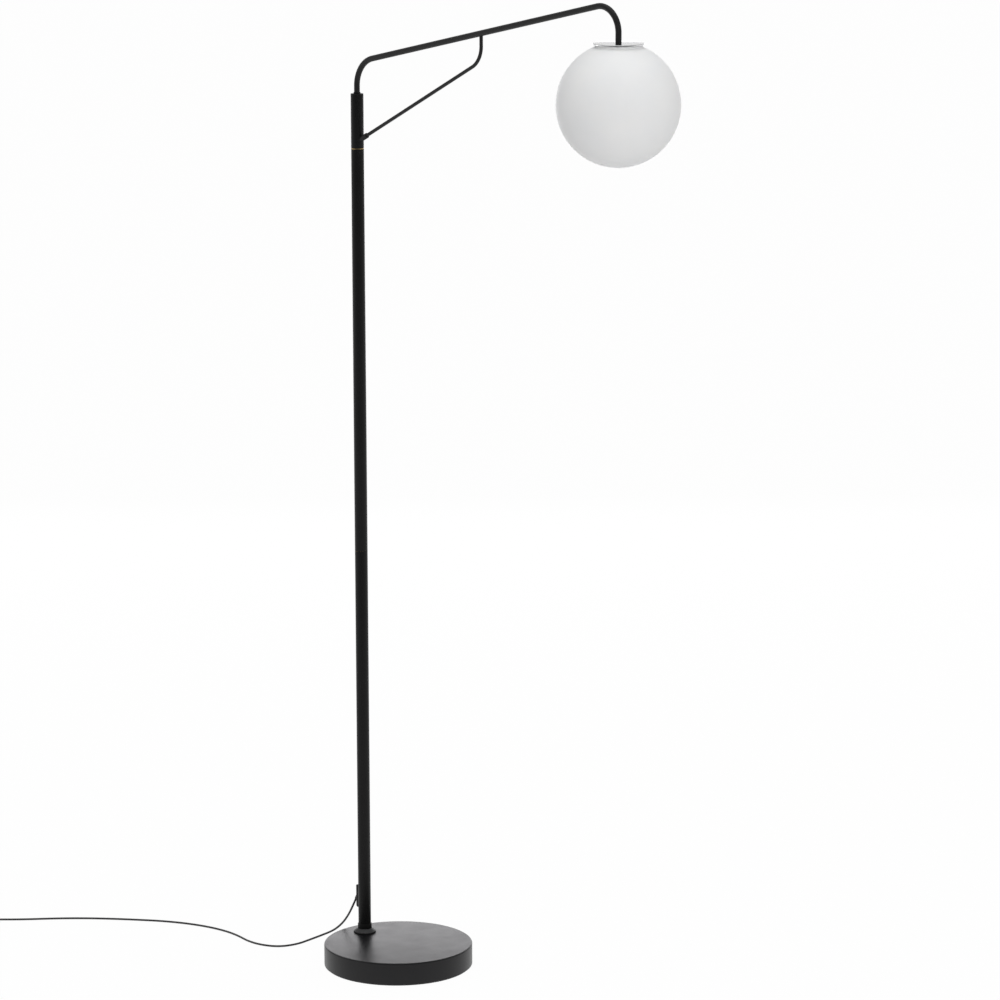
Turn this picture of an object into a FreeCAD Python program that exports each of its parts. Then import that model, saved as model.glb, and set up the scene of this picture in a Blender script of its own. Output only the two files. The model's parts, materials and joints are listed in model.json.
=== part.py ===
"""Globe floor lamp: a round weighted base, a three-piece pole, a bent arm with a brace,
and an opal glass globe under a polished cap. Millimetres; the origin is the centre of the
base's underside, +Z is up and +X runs out along the arm.
"""
import FreeCAD, Part
import math
import os
import Sketcher
from FreeCAD import Rotation, Vector

doc = FreeCAD.newDocument("globe_floor_lamp")
sheet = doc.addObject("Spreadsheet::Sheet", "Sizes")

DRIVING_SIZES = [
    # base
    ("base_radius", 129, "outer radius of the pressed cover"),
    ("base_top", 40, "height of the base's top face above the floor"),
    ("base_wall", 1.5, "sheet thickness of the cover"),
    ("cover_round", 2.5, "rounding of the cover's top edge"),
    ("hem_round", 1.2, "rounding of the cover's lower edge"),
    ("pad_height", 2, "non-slip pad under the base"),
    ("pad_inset", 3, "how far the pad is set in from the cover's side"),
    ("ballast_radius", 126.3, "cast weight"),
    ("ballast_deck", 19, "top of the weight's plate"),
    ("rib_top", 31, "top of the weight's ribs"),
    ("rib_width", 7, "width of a rib"),
    ("hub_radius", 24, "hub in the middle of the ribs"),
    ("boss_radius", 27, "boss that carries the pole"),
    # pole
    ("pole_x", -88, "pole axis, behind the middle of the base"),
    ("pole_radius", 11, "pole tubes, outside"),
    ("pole_bore", 9.5, "pole tubes, inside radius"),
    ("plug_fit", 9.45, "turned parts that sit in the pole's bore"),
    ("seam_low", 725, "joint between the lower and middle tubes"),
    ("seam_high", 1421.5, "joint between the middle and top tubes"),
    ("shoulder_low", 0.3, "coupling shoulder that shows in the lower seam"),
    ("shoulder_high", 0.7, "coupling shoulder that shows in the upper seam"),
    ("pole_end", 1512.5, "top of the top tube"),
    ("pole_cap_top", 1515.3, "top of the end plug"),
    ("flange_radius", 19.4, "cone round the pole's foot"),
    ("bolt_radius", 5.95, "foot bolt"),
    ("bolt_seat", 13, "face in the weight that the foot bolt pulls on"),
    # arm and brace
    ("arm_radius", 5, "arm tube, outside"),
    ("arm_bore", 4, "arm tube, inside radius"),
    ("arm_foot", 1474, "lower end of the arm tube, inside the pole"),
    ("arm_turn_start", 1528.2, "where the arm's first bend begins"),
    ("arm_bend_low", 50, "first bend radius, on the centreline"),
    ("arm_bend_high", 40, "second bend radius, on the centreline"),
    ("arm_slope", 12.44, "rise of the arm, degrees"),
    ("arm_end", 1641.5, "lower end of the arm tube, on the cap"),
    ("brace_radius", 3, "brace rod"),
    ("brace_bend", 40, "brace bend radius, on the centreline"),
    ("brace_slope", 26.98, "rise of the brace, degrees"),
    ("brace_x", 221.7, "where the brace stands under the arm"),
    ("brace_foot_x", -74.5, "lower end of the brace rod, in its ferrule"),
    ("brace_foot_z", 1440.2, "height of the brace rod's lower end"),
    ("ferrule_radius", 4.5, "ferrule at the pole"),
    ("ferrule_length", 13, "ferrule at the pole"),
    # globe head
    ("globe_x", 542, "globe axis"),
    ("globe_z", 1543, "centre of the globe"),
    ("globe_radius", 100, "globe glass, outside"),
    ("glass_wall", 3, "glass thickness"),
    ("neck_radius", 38.5, "collar of the glass, outside"),
    ("neck_top", 1639.4, "top of the glass collar"),
    ("cap_radius", 42, "polished cap"),
    ("cap_top", 1641.5, "top of the cap"),
    ("cap_rim", 1639, "lower edge of the cap's rim"),
    ("tab_angle", 24, "width of a bayonet tab, degrees"),
    ("bulb_radius", 30, "bulb dome"),
    ("bulb_z", 1524, "centre of the bulb dome"),
    # cable outlet
    ("outlet_face", 16, "outlet plate's face, from the pole axis"),
    ("outlet_half", 6, "half the outlet plate's width"),
    ("outlet_low", 81.5, "lowest point of the outlet plate"),
    ("outlet_high", 123.5, "top of the outlet plate"),
    ("outlet_tilt", 33, "lead's tilt from straight down, degrees"),
    ("outlet_mouth_z", 106, "where the lead's axis crosses the plate's face"),
    ("relief_reach", 12, "strain relief beyond the plate"),
    ("slot_half", 3.4, "half the width of the cable slot in the pole"),
    ("slot_low", 107, "lower end of the cable slot"),
    ("slot_high", 123, "upper end of the cable slot"),
    # lead
    ("lead_radius", 1.8, "lead and inner cable"),
    ("switch_x", -725, "foot switch on the lead"),
    ("switch_y", -422, "foot switch on the lead"),
    ("switch_heading", 243.3, "direction of the lead through the switch, degrees"),
    ("switch_half", 43, "half the switch's length"),
    ("switch_width", 52, "switch housing across"),
    ("button_radius", 14.5, "foot button"),
    ("switch_split", 8, "parting line of the switch, and the lead's height in it"),
    ("switch_top", 22, "top of the switch cover"),
    ("switch_screw", 22, "switch screws, from the middle along the lead"),
    ("boot_length", 21, "strain relief at each end of the switch"),
    ("boot_reach", 10, "strain relief beyond the switch"),
    ("coil_x", -814, "middle of the wound lead"),
    ("coil_y", -464, "middle of the wound lead"),
    ("coil_outer", 26, "largest turn, on the centreline"),
    ("coil_pitch", 4.4, "step from turn to turn"),
    ("layer_pitch", 4.3, "step from layer to layer"),
    ("coil_floor", 3.0, "centreline of the lowest layer"),
    ("plug_y", -408, "cord end of the plug"),
]


class Size:
    """A number together with the spreadsheet formula that gives it."""

    def __init__(self, value, text):
        self.value = value
        self.text = text

    def joined(self, sign, other, value):
        text = other.text if isinstance(other, Size) else repr(other)
        return Size(value, f"({self.text} {sign} {text})")

    def __add__(self, other):
        return self.joined("+", other, self.value + plain(other))

    def __sub__(self, other):
        return self.joined("-", other, self.value - plain(other))

    def __mul__(self, other):
        return self.joined("*", other, self.value * plain(other))

    def __truediv__(self, other):
        return self.joined("/", other, self.value / plain(other))

    def __neg__(self):
        return Size(-self.value, f"(0 - {self.text})")

    __radd__ = __add__
    __rmul__ = __mul__


def plain(size):
    return size.value if isinstance(size, Size) else size


def write_sheet():
    """Put the driving sizes in the spreadsheet and hand them back by name."""
    sizes = {}
    for row, (name, value, note) in enumerate(DRIVING_SIZES, start=1):
        sheet.set(f"A{row}", note)
        sheet.set(f"B{row}", str(value))
        sheet.setAlias(f"B{row}", name)
        sizes[name] = Size(value, f"Sizes.{name}")
    doc.recompute()
    return sizes


S = write_sheet()
nodes = []


def finish(piece, label):
    """Give a finished sub-part its name and put it on the list that is written out."""
    piece.Label = label
    nodes.append(piece)
    return piece


def place(piece, x=0, y=0, z=0, turn=0, axis=Vector(0, 0, 1)):
    """Set a sub-part's placement and bind what is driven to the sheet."""
    where = Vector(plain(x), plain(y), plain(z))
    piece.Placement = FreeCAD.Placement(where, Rotation(axis, plain(turn)))
    for letter, size in (("x", x), ("y", y), ("z", z)):
        if isinstance(size, Size):
            piece.setExpression(f"Placement.Base.{letter}", size.text)
    if isinstance(turn, Size):
        piece.setExpression("Placement.Rotation.Angle", turn.text)


def new_body(name, **where):
    body = doc.addObject("PartDesign::Body", name)
    place(body, **where)
    return body


def new_sketch(body, role, name="profile", offset=0):
    sketch = body.newObject("Sketcher::SketchObject", name)
    plane = [item for item in body.Origin.OriginFeatures if item.Role == role][0]
    sketch.AttachmentSupport = (plane, [""])
    sketch.MapMode = "FlatFace"
    if isinstance(offset, Size) or offset:
        sketch.AttachmentOffset = FreeCAD.Placement(Vector(0, 0, plain(offset)), Rotation())
        if isinstance(offset, Size):
            sketch.setExpression("AttachmentOffset.Base.z", offset.text)
    return sketch


def constrain(sketch, kind, *places, size=None):
    """Add a constraint; a driven one is bound to its formula."""
    if size is None:
        return sketch.addConstraint(Sketcher.Constraint(kind, *places))
    value = math.radians(plain(size)) if kind == "Angle" else plain(size)
    index = sketch.addConstraint(Sketcher.Constraint(kind, *places, value))
    if isinstance(size, Size):
        sketch.setExpression(f"Constraints[{index}]", size.text)
    return index


def pin_point(sketch, geometry, end, across, up):
    """Hold one end of a sketch line at (across, up)."""
    for kind, axis, size in (("DistanceX", -2, across), ("DistanceY", -1, up)):
        if isinstance(size, Size) or size:
            constrain(sketch, kind, -1, 1, geometry, end, size=size)
        else:
            constrain(sketch, "PointOnObject", geometry, end, axis)


def outline(sketch, corners):
    """Draw a closed outline of straight sides through driven corners."""
    points = [Vector(plain(x), plain(y), 0) for x, y in corners]
    sides = [sketch.addGeometry(Part.LineSegment(a, b), False)
             for a, b in zip(points, points[1:] + points[:1])]
    for side, following in zip(sides, sides[1:] + sides[:1]):
        constrain(sketch, "Coincident", side, 2, following, 1)
    for side, (across, up) in zip(sides, corners):
        pin_point(sketch, side, 1, across, up)


def circle(sketch, radius, across=0, up=0):
    """Draw a driven circle."""
    spot = Vector(plain(across), plain(up), 0)
    ring = sketch.addGeometry(Part.Circle(spot, Vector(0, 0, 1), plain(radius)), False)
    constrain(sketch, "Radius", ring, size=radius)
    pin_point(sketch, ring, 3, across, up)


def polygon(sketch, sides, flats, across=0, up=0):
    """Draw a regular outline, given its width across flats."""
    reach = flats / 2 / math.cos(math.pi / sides)
    corners = []
    for index in range(sides):
        angle = 2 * math.pi * (index + 0.5) / sides
        corners.append((across + reach * math.cos(angle), up + reach * math.sin(angle)))
    outline(sketch, corners)


def revolve(body, sketch, angle=360, name="turned"):
    turned = body.newObject("PartDesign::Revolution", name)
    turned.Profile = sketch
    turned.ReferenceAxis = (sketch, ["V_Axis"])
    turned.Angle = plain(angle)
    if isinstance(angle, Size):
        turned.setExpression("Angle", angle.text)
    return turned


def turned(name, corners, **where):
    """A body of revolution about its own Z axis, from corners (radius, height)."""
    body = new_body(name, **where)
    sketch = new_sketch(body, "XZ_Plane")
    outline(sketch, corners)
    revolve(body, sketch)
    return body


def pad(body, sketch, length, reverse=False, symmetric=False):
    block = body.newObject("PartDesign::Pad", "block")
    block.Profile = sketch
    block.Length = plain(length)
    if isinstance(length, Size):
        block.setExpression("Length", length.text)
    block.Reversed = reverse
    block.Midplane = symmetric
    return block


def pocket(body, sketch, length, reverse=False):
    """Cut a pocket and make sure that it took material away."""
    doc.recompute()
    before = body.Shape.Volume
    cut = body.newObject("PartDesign::Pocket", "pocket")
    cut.Profile = sketch
    cut.Length = plain(length)
    if isinstance(length, Size):
        cut.setExpression("Length", length.text)
    cut.Reversed = reverse
    doc.recompute()
    if body.Shape.Volume >= before - 1e-6:
        raise RuntimeError(f"the pocket in {body.Name} cuts nothing")
    return cut


def around(body, feature, count):
    """Repeat a feature round the body's Z axis."""
    ring = body.newObject("PartDesign::PolarPattern", "ring")
    ring.Originals = [feature]
    axis = [item for item in body.Origin.OriginFeatures if item.Role == "Z_Axis"][0]
    ring.Axis = (axis, [""])
    ring.Angle = 360
    ring.Occurrences = count
    body.Tip = ring
    return ring


def dress(body, kind, size, wanted):
    """Fillet or chamfer the edges that the test picks."""
    doc.recompute()
    base = body.Tip
    names = [f"Edge{index}" for index, edge in enumerate(base.Shape.Edges, start=1) if wanted(edge)]
    if not names:
        raise RuntimeError(f"no edge to dress on {body.Name}")
    dressed = body.newObject(f"PartDesign::{kind}", kind.lower())
    dressed.Base = (base, names)
    prop = "Radius" if kind == "Fillet" else "Size"
    setattr(dressed, prop, plain(size))
    if isinstance(size, Size):
        dressed.setExpression(prop, size.text)
    return dressed


def ring_edge(radius, height, slack=0.05):
    """Pick the round edge of this radius at this height."""
    def wanted(edge):
        curve = edge.Curve
        if not isinstance(curve, Part.Circle):
            return False
        near = abs(curve.Radius - plain(radius)) < slack
        return near and abs(curve.Center.z - plain(height)) < slack
    return wanted


def cylinder(name, radius, height, x=0, y=0, z=0, turn=0, axis=Vector(0, 1, 0)):
    """A Part cylinder with driven sizes, used in booleans."""
    rod = doc.addObject("Part::Cylinder", name)
    for prop, size in (("Radius", radius), ("Height", height)):
        setattr(rod, prop, plain(size))
        if isinstance(size, Size):
            rod.setExpression(prop, size.text)
    place(rod, x=x, y=y, z=z, turn=turn, axis=axis)
    return rod


def cut(name, base, *tools):
    """Take tools away from a base one after the other."""
    piece = base
    for index, tool in enumerate(tools):
        step = doc.addObject("Part::Cut", f"{name}_{index}")
        step.Base = piece
        step.Tool = tool
        piece = step
    return piece


def group(name, pieces):
    """Several separate solids under one name."""
    bunch = doc.addObject("Part::Compound", name)
    bunch.Links = pieces
    return finish(bunch, name)


def bent_path(sketch, start, slope, bends, finish_at, up_first):
    """Upright, bend, slope, bend and upright lines, or slope, bend, upright for a brace."""
    rise = math.radians(plain(slope))
    along = Vector(math.cos(rise), math.sin(rise), 0)
    x0, z0 = plain(start[0]), plain(start[1])
    x1, z1 = plain(finish_at[0]), plain(finish_at[1])
    items = []
    if up_first:
        low = plain(bends[0])
        turn_z = plain(up_first)
        middle = Vector(x0 + low, turn_z, 0)
        leave = Vector(middle.x - low * math.sin(rise), middle.y + low * math.cos(rise), 0)
        items.append(Part.LineSegment(Vector(x0, z0, 0), Vector(x0, turn_z, 0)))
        items.append(Part.ArcOfCircle(Part.Circle(middle, Vector(0, 0, 1), low),
                                      math.pi / 2 + rise, math.pi))
    else:
        leave = Vector(x0, z0, 0)
    last = plain(bends[-1])
    if up_first:
        centre_x = x1 - last
        ahead = (centre_x - last * math.sin(rise) - leave.x) / along.x
        reach = leave + along * ahead
        centre = Vector(centre_x, reach.y - last * math.cos(rise), 0)
        items.append(Part.LineSegment(leave, reach))
        items.append(Part.ArcOfCircle(Part.Circle(centre, Vector(0, 0, 1), last),
                                      0, math.pi / 2 + rise))
    else:
        centre_x = x1 - last
        ahead = (centre_x + last * math.sin(rise) - leave.x) / along.x
        reach = leave + along * ahead
        centre = Vector(centre_x, reach.y + last * math.cos(rise), 0)
        items.append(Part.LineSegment(leave, reach))
        items.append(Part.ArcOfCircle(Part.Circle(centre, Vector(0, 0, 1), last),
                                      -math.pi / 2 + rise, 0))
    items.append(Part.LineSegment(Vector(x1, centre.y, 0), Vector(x1, z1, 0)))
    return [sketch.addGeometry(item, False) for item in items]


def arm_path(sketch):
    """The arm's centreline: up out of the pole, over, along the slope, over and down."""
    first, low, slope, high, last = bent_path(
        sketch, (S["pole_x"], S["arm_foot"]), S["arm_slope"],
        (S["arm_bend_low"], S["arm_bend_high"]), (S["globe_x"], S["arm_end"]),
        S["arm_turn_start"])
    constrain(sketch, "Tangent", first, 2, low, 2)
    constrain(sketch, "Tangent", low, 1, slope, 1)
    constrain(sketch, "Tangent", slope, 2, high, 2)
    constrain(sketch, "Tangent", high, 1, last, 1)
    constrain(sketch, "Vertical", first)
    constrain(sketch, "Vertical", last)
    constrain(sketch, "Angle", slope, size=S["arm_slope"])
    constrain(sketch, "Radius", low, size=S["arm_bend_low"])
    constrain(sketch, "Radius", high, size=S["arm_bend_high"])
    pin_point(sketch, first, 1, S["pole_x"], S["arm_foot"])
    constrain(sketch, "DistanceY", -1, 1, first, 2, size=S["arm_turn_start"])
    pin_point(sketch, last, 2, S["globe_x"], S["arm_end"])


def brace_path(sketch, top):
    """The brace's centreline: up its slope, round its bend and straight up to the arm."""
    slope, bend, last = bent_path(
        sketch, (S["brace_foot_x"], S["brace_foot_z"]), S["brace_slope"],
        (S["brace_bend"],), (S["brace_x"], top), None)
    constrain(sketch, "Tangent", slope, 2, bend, 1)
    constrain(sketch, "Tangent", bend, 2, last, 1)
    constrain(sketch, "Vertical", last)
    constrain(sketch, "Angle", slope, size=S["brace_slope"])
    constrain(sketch, "Radius", bend, size=S["brace_bend"])
    pin_point(sketch, slope, 1, S["brace_foot_x"], S["brace_foot_z"])
    pin_point(sketch, last, 2, S["brace_x"], top)


def sweep(body, section, path):
    pipe = body.newObject("PartDesign::AdditivePipe", "bent")
    pipe.Profile = section
    pipe.Spine = (path, [])
    return pipe


# ---------------------------------------------------------------- base

def make_base():
    pad_reach = S["base_radius"] - S["pad_inset"]
    pad_disc = turned("base_pad", [(0, 0), (pad_reach, 0), (pad_reach, S["pad_height"]),
                                   (0, S["pad_height"])])
    finish(pad_disc, "base_pad")

    outer, wall, top = S["base_radius"], S["base_wall"], S["base_top"]
    cover = turned("base_cover", [(0, top - wall), (outer - wall, top - wall),
                                  (outer - wall, S["pad_height"]), (outer, S["pad_height"]),
                                  (outer, top), (0, top)])
    dress(cover, "Fillet", S["cover_round"], ring_edge(outer, top))
    dress(cover, "Fillet", S["hem_round"], ring_edge(outer, S["pad_height"]))
    dress(cover, "Fillet", S["cover_round"] - wall, ring_edge(outer - wall, top - wall))
    hole = new_sketch(cover, "XY_Plane", "bolt_hole", offset=top)
    circle(hole, S["bolt_radius"] + 0.5, across=S["pole_x"])
    pocket(cover, hole, wall * 2)
    finish(cover, "base_cover")

    deck, low = S["ballast_deck"], S["pad_height"]
    weight = turned("base_ballast", [(0, low), (S["ballast_radius"], low),
                                     (S["ballast_radius"], deck), (0, deck)])
    dress(weight, "Chamfer", 2, ring_edge(S["ballast_radius"], deck))
    hub = new_sketch(weight, "XY_Plane", "hub", offset=deck)
    circle(hub, S["hub_radius"])
    pad(weight, hub, S["rib_top"] - deck)
    rib = new_sketch(weight, "XY_Plane", "rib", offset=deck)
    half = S["rib_width"] / 2
    reach = S["ballast_radius"] - 7
    outline(rib, [(S["hub_radius"] - 4, -half), (reach, -half), (reach, half),
                  (S["hub_radius"] - 4, half)])
    around(weight, pad(weight, rib, S["rib_top"] - deck), 6)
    boss = new_sketch(weight, "XY_Plane", "boss", offset=deck)
    circle(boss, S["boss_radius"], across=S["pole_x"])
    pad(weight, boss, top - wall - deck)
    rest = new_sketch(weight, "XY_Plane", "rest", offset=deck)
    circle(rest, 9, across=S["ballast_radius"] - 22)
    rest_pad = pad(weight, rest, top - wall - deck - 1.5)
    around(weight, rest_pad, 6)
    bore = new_sketch(weight, "XY_Plane", "bolt_bore", offset=top - wall)
    circle(bore, S["bolt_radius"] + 0.5, across=S["pole_x"])
    pocket(weight, bore, top)
    seat = new_sketch(weight, "XY_Plane", "bolt_seat", offset=low)
    circle(seat, 17, across=S["pole_x"])
    pocket(weight, seat, S["bolt_seat"] - low, reverse=True)
    finish(weight, "base_ballast")

    pads = []
    for index in range(6):
        if index == 3:
            continue
        angle = math.radians(60 * index)
        spot = plain(S["ballast_radius"]) - 22
        height = plain(top - wall)
        pads.append(turned(f"cover_pad_{index}", [(0, height - 1.5), (7.5, height - 1.5),
                                                  (7.5, height), (0, height)],
                           x=spot * math.cos(angle), y=spot * math.sin(angle)))
    group("cover_pads", pads)


def make_foot():
    top, seat, x = S["base_top"], S["bolt_seat"], S["pole_x"]
    radius, flange = S["pole_radius"], S["flange_radius"]
    gasket = turned("foot_gasket", [(radius + 0.2, top), (flange + 0.4, top),
                                    (flange + 0.4, top + 1.4), (radius + 0.2, top + 1.4)], x=x)
    dress(gasket, "Fillet", 0.6, ring_edge(flange + 0.4, top + 1.4))
    finish(gasket, "foot_gasket")

    cone = turned("foot_flange", [(radius + 0.15, top + 1.4), (flange, top + 1.4),
                                  (flange, top + 2.4), (radius + 1.9, top + 7.4),
                                  (radius + 0.15, top + 7.4)], x=x)
    dress(cone, "Fillet", 0.8, ring_edge(flange, top + 2.4))
    finish(cone, "foot_flange")

    ring = turned("foot_ring", [(radius + 0.1, top + 7.4), (radius + 1.2, top + 7.4),
                                (radius + 1.2, top + 15.9), (radius + 0.1, top + 15.9)], x=x)
    dress(ring, "Chamfer", 0.5, ring_edge(radius + 1.2, top + 15.9))
    finish(ring, "foot_ring")

    insert = turned("pole_foot_insert", [(S["bolt_radius"] + 0.05, top), (S["plug_fit"], top),
                                         (S["plug_fit"], top + 31),
                                         (S["bolt_radius"] + 0.05, top + 31)], x=x)
    finish(insert, "pole_foot_insert")

    washer = turned("foot_washer", [(S["bolt_radius"] + 0.4, seat - 2.5), (15.5, seat - 2.5),
                                    (15.5, seat), (S["bolt_radius"] + 0.4, seat)], x=x)
    finish(washer, "foot_washer")

    bolt = new_body("foot_bolt", x=x)
    head = new_sketch(bolt, "XY_Plane", "head", offset=seat - 10)
    polygon(head, 6, 19)
    pad(bolt, head, 7.5)
    shank = new_sketch(bolt, "XY_Plane", "shank", offset=seat - 2.5)
    circle(shank, S["bolt_radius"])
    pad(bolt, shank, top + 30 - seat)
    dress(bolt, "Chamfer", 1, ring_edge(S["bolt_radius"], top + 27.5))
    finish(bolt, "foot_bolt")


# ---------------------------------------------------------------- pole

def tube(name, low, high):
    body = turned(name, [(S["pole_bore"], low), (S["pole_radius"], low),
                         (S["pole_radius"], high), (S["pole_bore"], high)], x=S["pole_x"])
    return body


def coupling(name, seam, shoulder):
    """Hollow stud: a plain end held in the tube below and a threaded end for the bush above."""
    bore, reach = 4.5, 7.0
    stud = turned(name, [(bore, seam - 30), (S["plug_fit"], seam - 30), (S["plug_fit"], seam),
                         (S["pole_radius"] - 0.15, seam), (S["pole_radius"] - 0.15, seam + shoulder),
                         (reach, seam + shoulder), (reach, seam + 24), (bore, seam + 24)],
                  x=S["pole_x"])
    dress(stud, "Chamfer", 1, ring_edge(reach, seam + 24))
    finish(stud, name)


def bush(name, seam):
    """Threaded bush held in the lower end of a tube."""
    return turned(name, [(7.05, seam), (S["plug_fit"], seam), (S["plug_fit"], seam + 26),
                         (7.05, seam + 26)], x=S["pole_x"])


def make_pole():
    low_seam, high_seam = S["seam_low"], S["seam_high"]
    lower = tube("pole_lower", S["base_top"], low_seam)
    slot = new_sketch(lower, "YZ_Plane", "cable_slot")
    half, low, high = S["slot_half"], S["slot_low"], S["slot_high"]
    outline(slot, [(-half, low), (half, low), (half, high), (-half, high)])
    pocket(lower, slot, S["pole_radius"] + 2)
    tapped = new_sketch(lower, "YZ_Plane", "screw_hole")
    circle(tapped, 1.55, up=S["outlet_low"] + S["outlet_half"])
    pocket(lower, tapped, S["pole_radius"] + 2)
    finish(lower, "pole_lower")
    finish(tube("pole_middle", low_seam + S["shoulder_low"], high_seam), "pole_middle")
    finish(tube("pole_top", high_seam + S["shoulder_high"], S["pole_end"]), "pole_top")

    coupling("coupling_lower", low_seam, S["shoulder_low"])
    coupling("coupling_upper", high_seam, S["shoulder_high"])
    group("coupling_bushes", [bush("bush_middle", low_seam + S["shoulder_low"]),
                              bush("bush_top", high_seam + S["shoulder_high"])])

    end, arm = S["pole_end"], S["arm_radius"]
    plug = turned("pole_end_plug", [(arm + 0.1, end - 12), (S["plug_fit"], end - 12),
                                    (S["plug_fit"], end), (S["pole_radius"], end),
                                    (S["pole_radius"], S["pole_cap_top"]),
                                    (arm + 0.1, S["pole_cap_top"])], x=S["pole_x"])
    dress(plug, "Fillet", 1.1, ring_edge(S["pole_radius"], S["pole_cap_top"]))
    finish(plug, "pole_end_plug")

    collar_low = S["pole_cap_top"]
    collar = turned("arm_collar", [(arm + 0.05, collar_low), (arm + 1, collar_low),
                                   (arm + 1, collar_low + 2.4), (arm + 0.05, collar_low + 2.4)],
                    x=S["pole_x"])
    dress(collar, "Fillet", 0.5, ring_edge(arm + 1, collar_low + 2.4))
    finish(collar, "arm_collar")

    foot = S["arm_foot"]
    socket = turned("arm_socket", [(2.6, foot - 4), (S["plug_fit"], foot - 4),
                                   (S["plug_fit"], foot + 20), (arm + 0.1, foot + 20),
                                   (arm + 0.1, foot), (2.6, foot)], x=S["pole_x"])
    finish(socket, "arm_socket")


def make_arm():
    arm = new_body("arm_tube")
    path = new_sketch(arm, "XZ_Plane", "centreline")
    arm_path(path)
    section = new_sketch(arm, "XY_Plane", "section", offset=S["arm_foot"])
    circle(section, S["arm_radius"], across=S["pole_x"])
    circle(section, S["arm_bore"], across=S["pole_x"])
    sweep(arm, section, path)
    finish(arm, "arm_tube")

    rise = math.radians(plain(S["arm_slope"]))
    reach = 60
    low_x, bend = plain(S["pole_x"]), plain(S["arm_bend_low"])
    leave_x = low_x + bend * (1 - math.sin(rise))
    leave_z = plain(S["arm_turn_start"]) + bend * math.cos(rise)
    over = leave_z + (plain(S["brace_x"]) - leave_x) * math.tan(rise)
    rod = new_body("brace_bar")
    path = new_sketch(rod, "XZ_Plane", "centreline")
    brace_path(path, over)
    section = new_sketch(rod, "XY_Plane", "section")
    section.MapMode = "NormalToEdge"
    section.AttachmentSupport = [(path, "Edge1")]
    section.MapPathParameter = 0.0
    ring = section.addGeometry(Part.Circle(Vector(0, 0, 0), Vector(0, 0, 1),
                                           plain(S["brace_radius"])), False)
    constrain(section, "Radius", ring, size=S["brace_radius"])
    constrain(section, "Coincident", ring, 3, -1, 1)
    sweep(rod, section, path)
    seat = cylinder("arm_seat", S["arm_radius"], reach,
                    x=S["brace_x"].value - reach / 2 * math.cos(rise),
                    z=over - reach / 2 * math.sin(rise), turn=90 - plain(S["arm_slope"]))
    finish(cut("brace_rod", rod, seat), "brace_rod")

    tilt = 90 - plain(S["brace_slope"])
    slope = math.radians(plain(S["brace_slope"]))
    back = 6
    ferrule = cylinder("ferrule_bar", S["ferrule_radius"], S["ferrule_length"] + back,
                       x=plain(S["brace_foot_x"]) - back * math.cos(slope),
                       z=plain(S["brace_foot_z"]) - back * math.sin(slope), turn=tilt)
    hole = cylinder("ferrule_hole", S["brace_radius"] + 0.05, 60, x=S["brace_foot_x"],
                    z=S["brace_foot_z"], turn=tilt)
    pole = cylinder("ferrule_seat", S["pole_radius"], 100, x=S["pole_x"],
                    z=plain(S["brace_foot_z"]) - 50)
    finish(cut("brace_ferrule", ferrule, hole, pole), "brace_ferrule")


# ---------------------------------------------------------------- cable outlet

def outlet_axis():
    """Mouth of the outlet and the direction in which the lead leaves it."""
    tilt = math.radians(plain(S["outlet_tilt"]))
    mouth = Vector(plain(S["pole_x"] - S["outlet_face"]), 0, plain(S["outlet_mouth_z"]))
    return mouth, Vector(-math.sin(tilt), 0, -math.cos(tilt))


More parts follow.
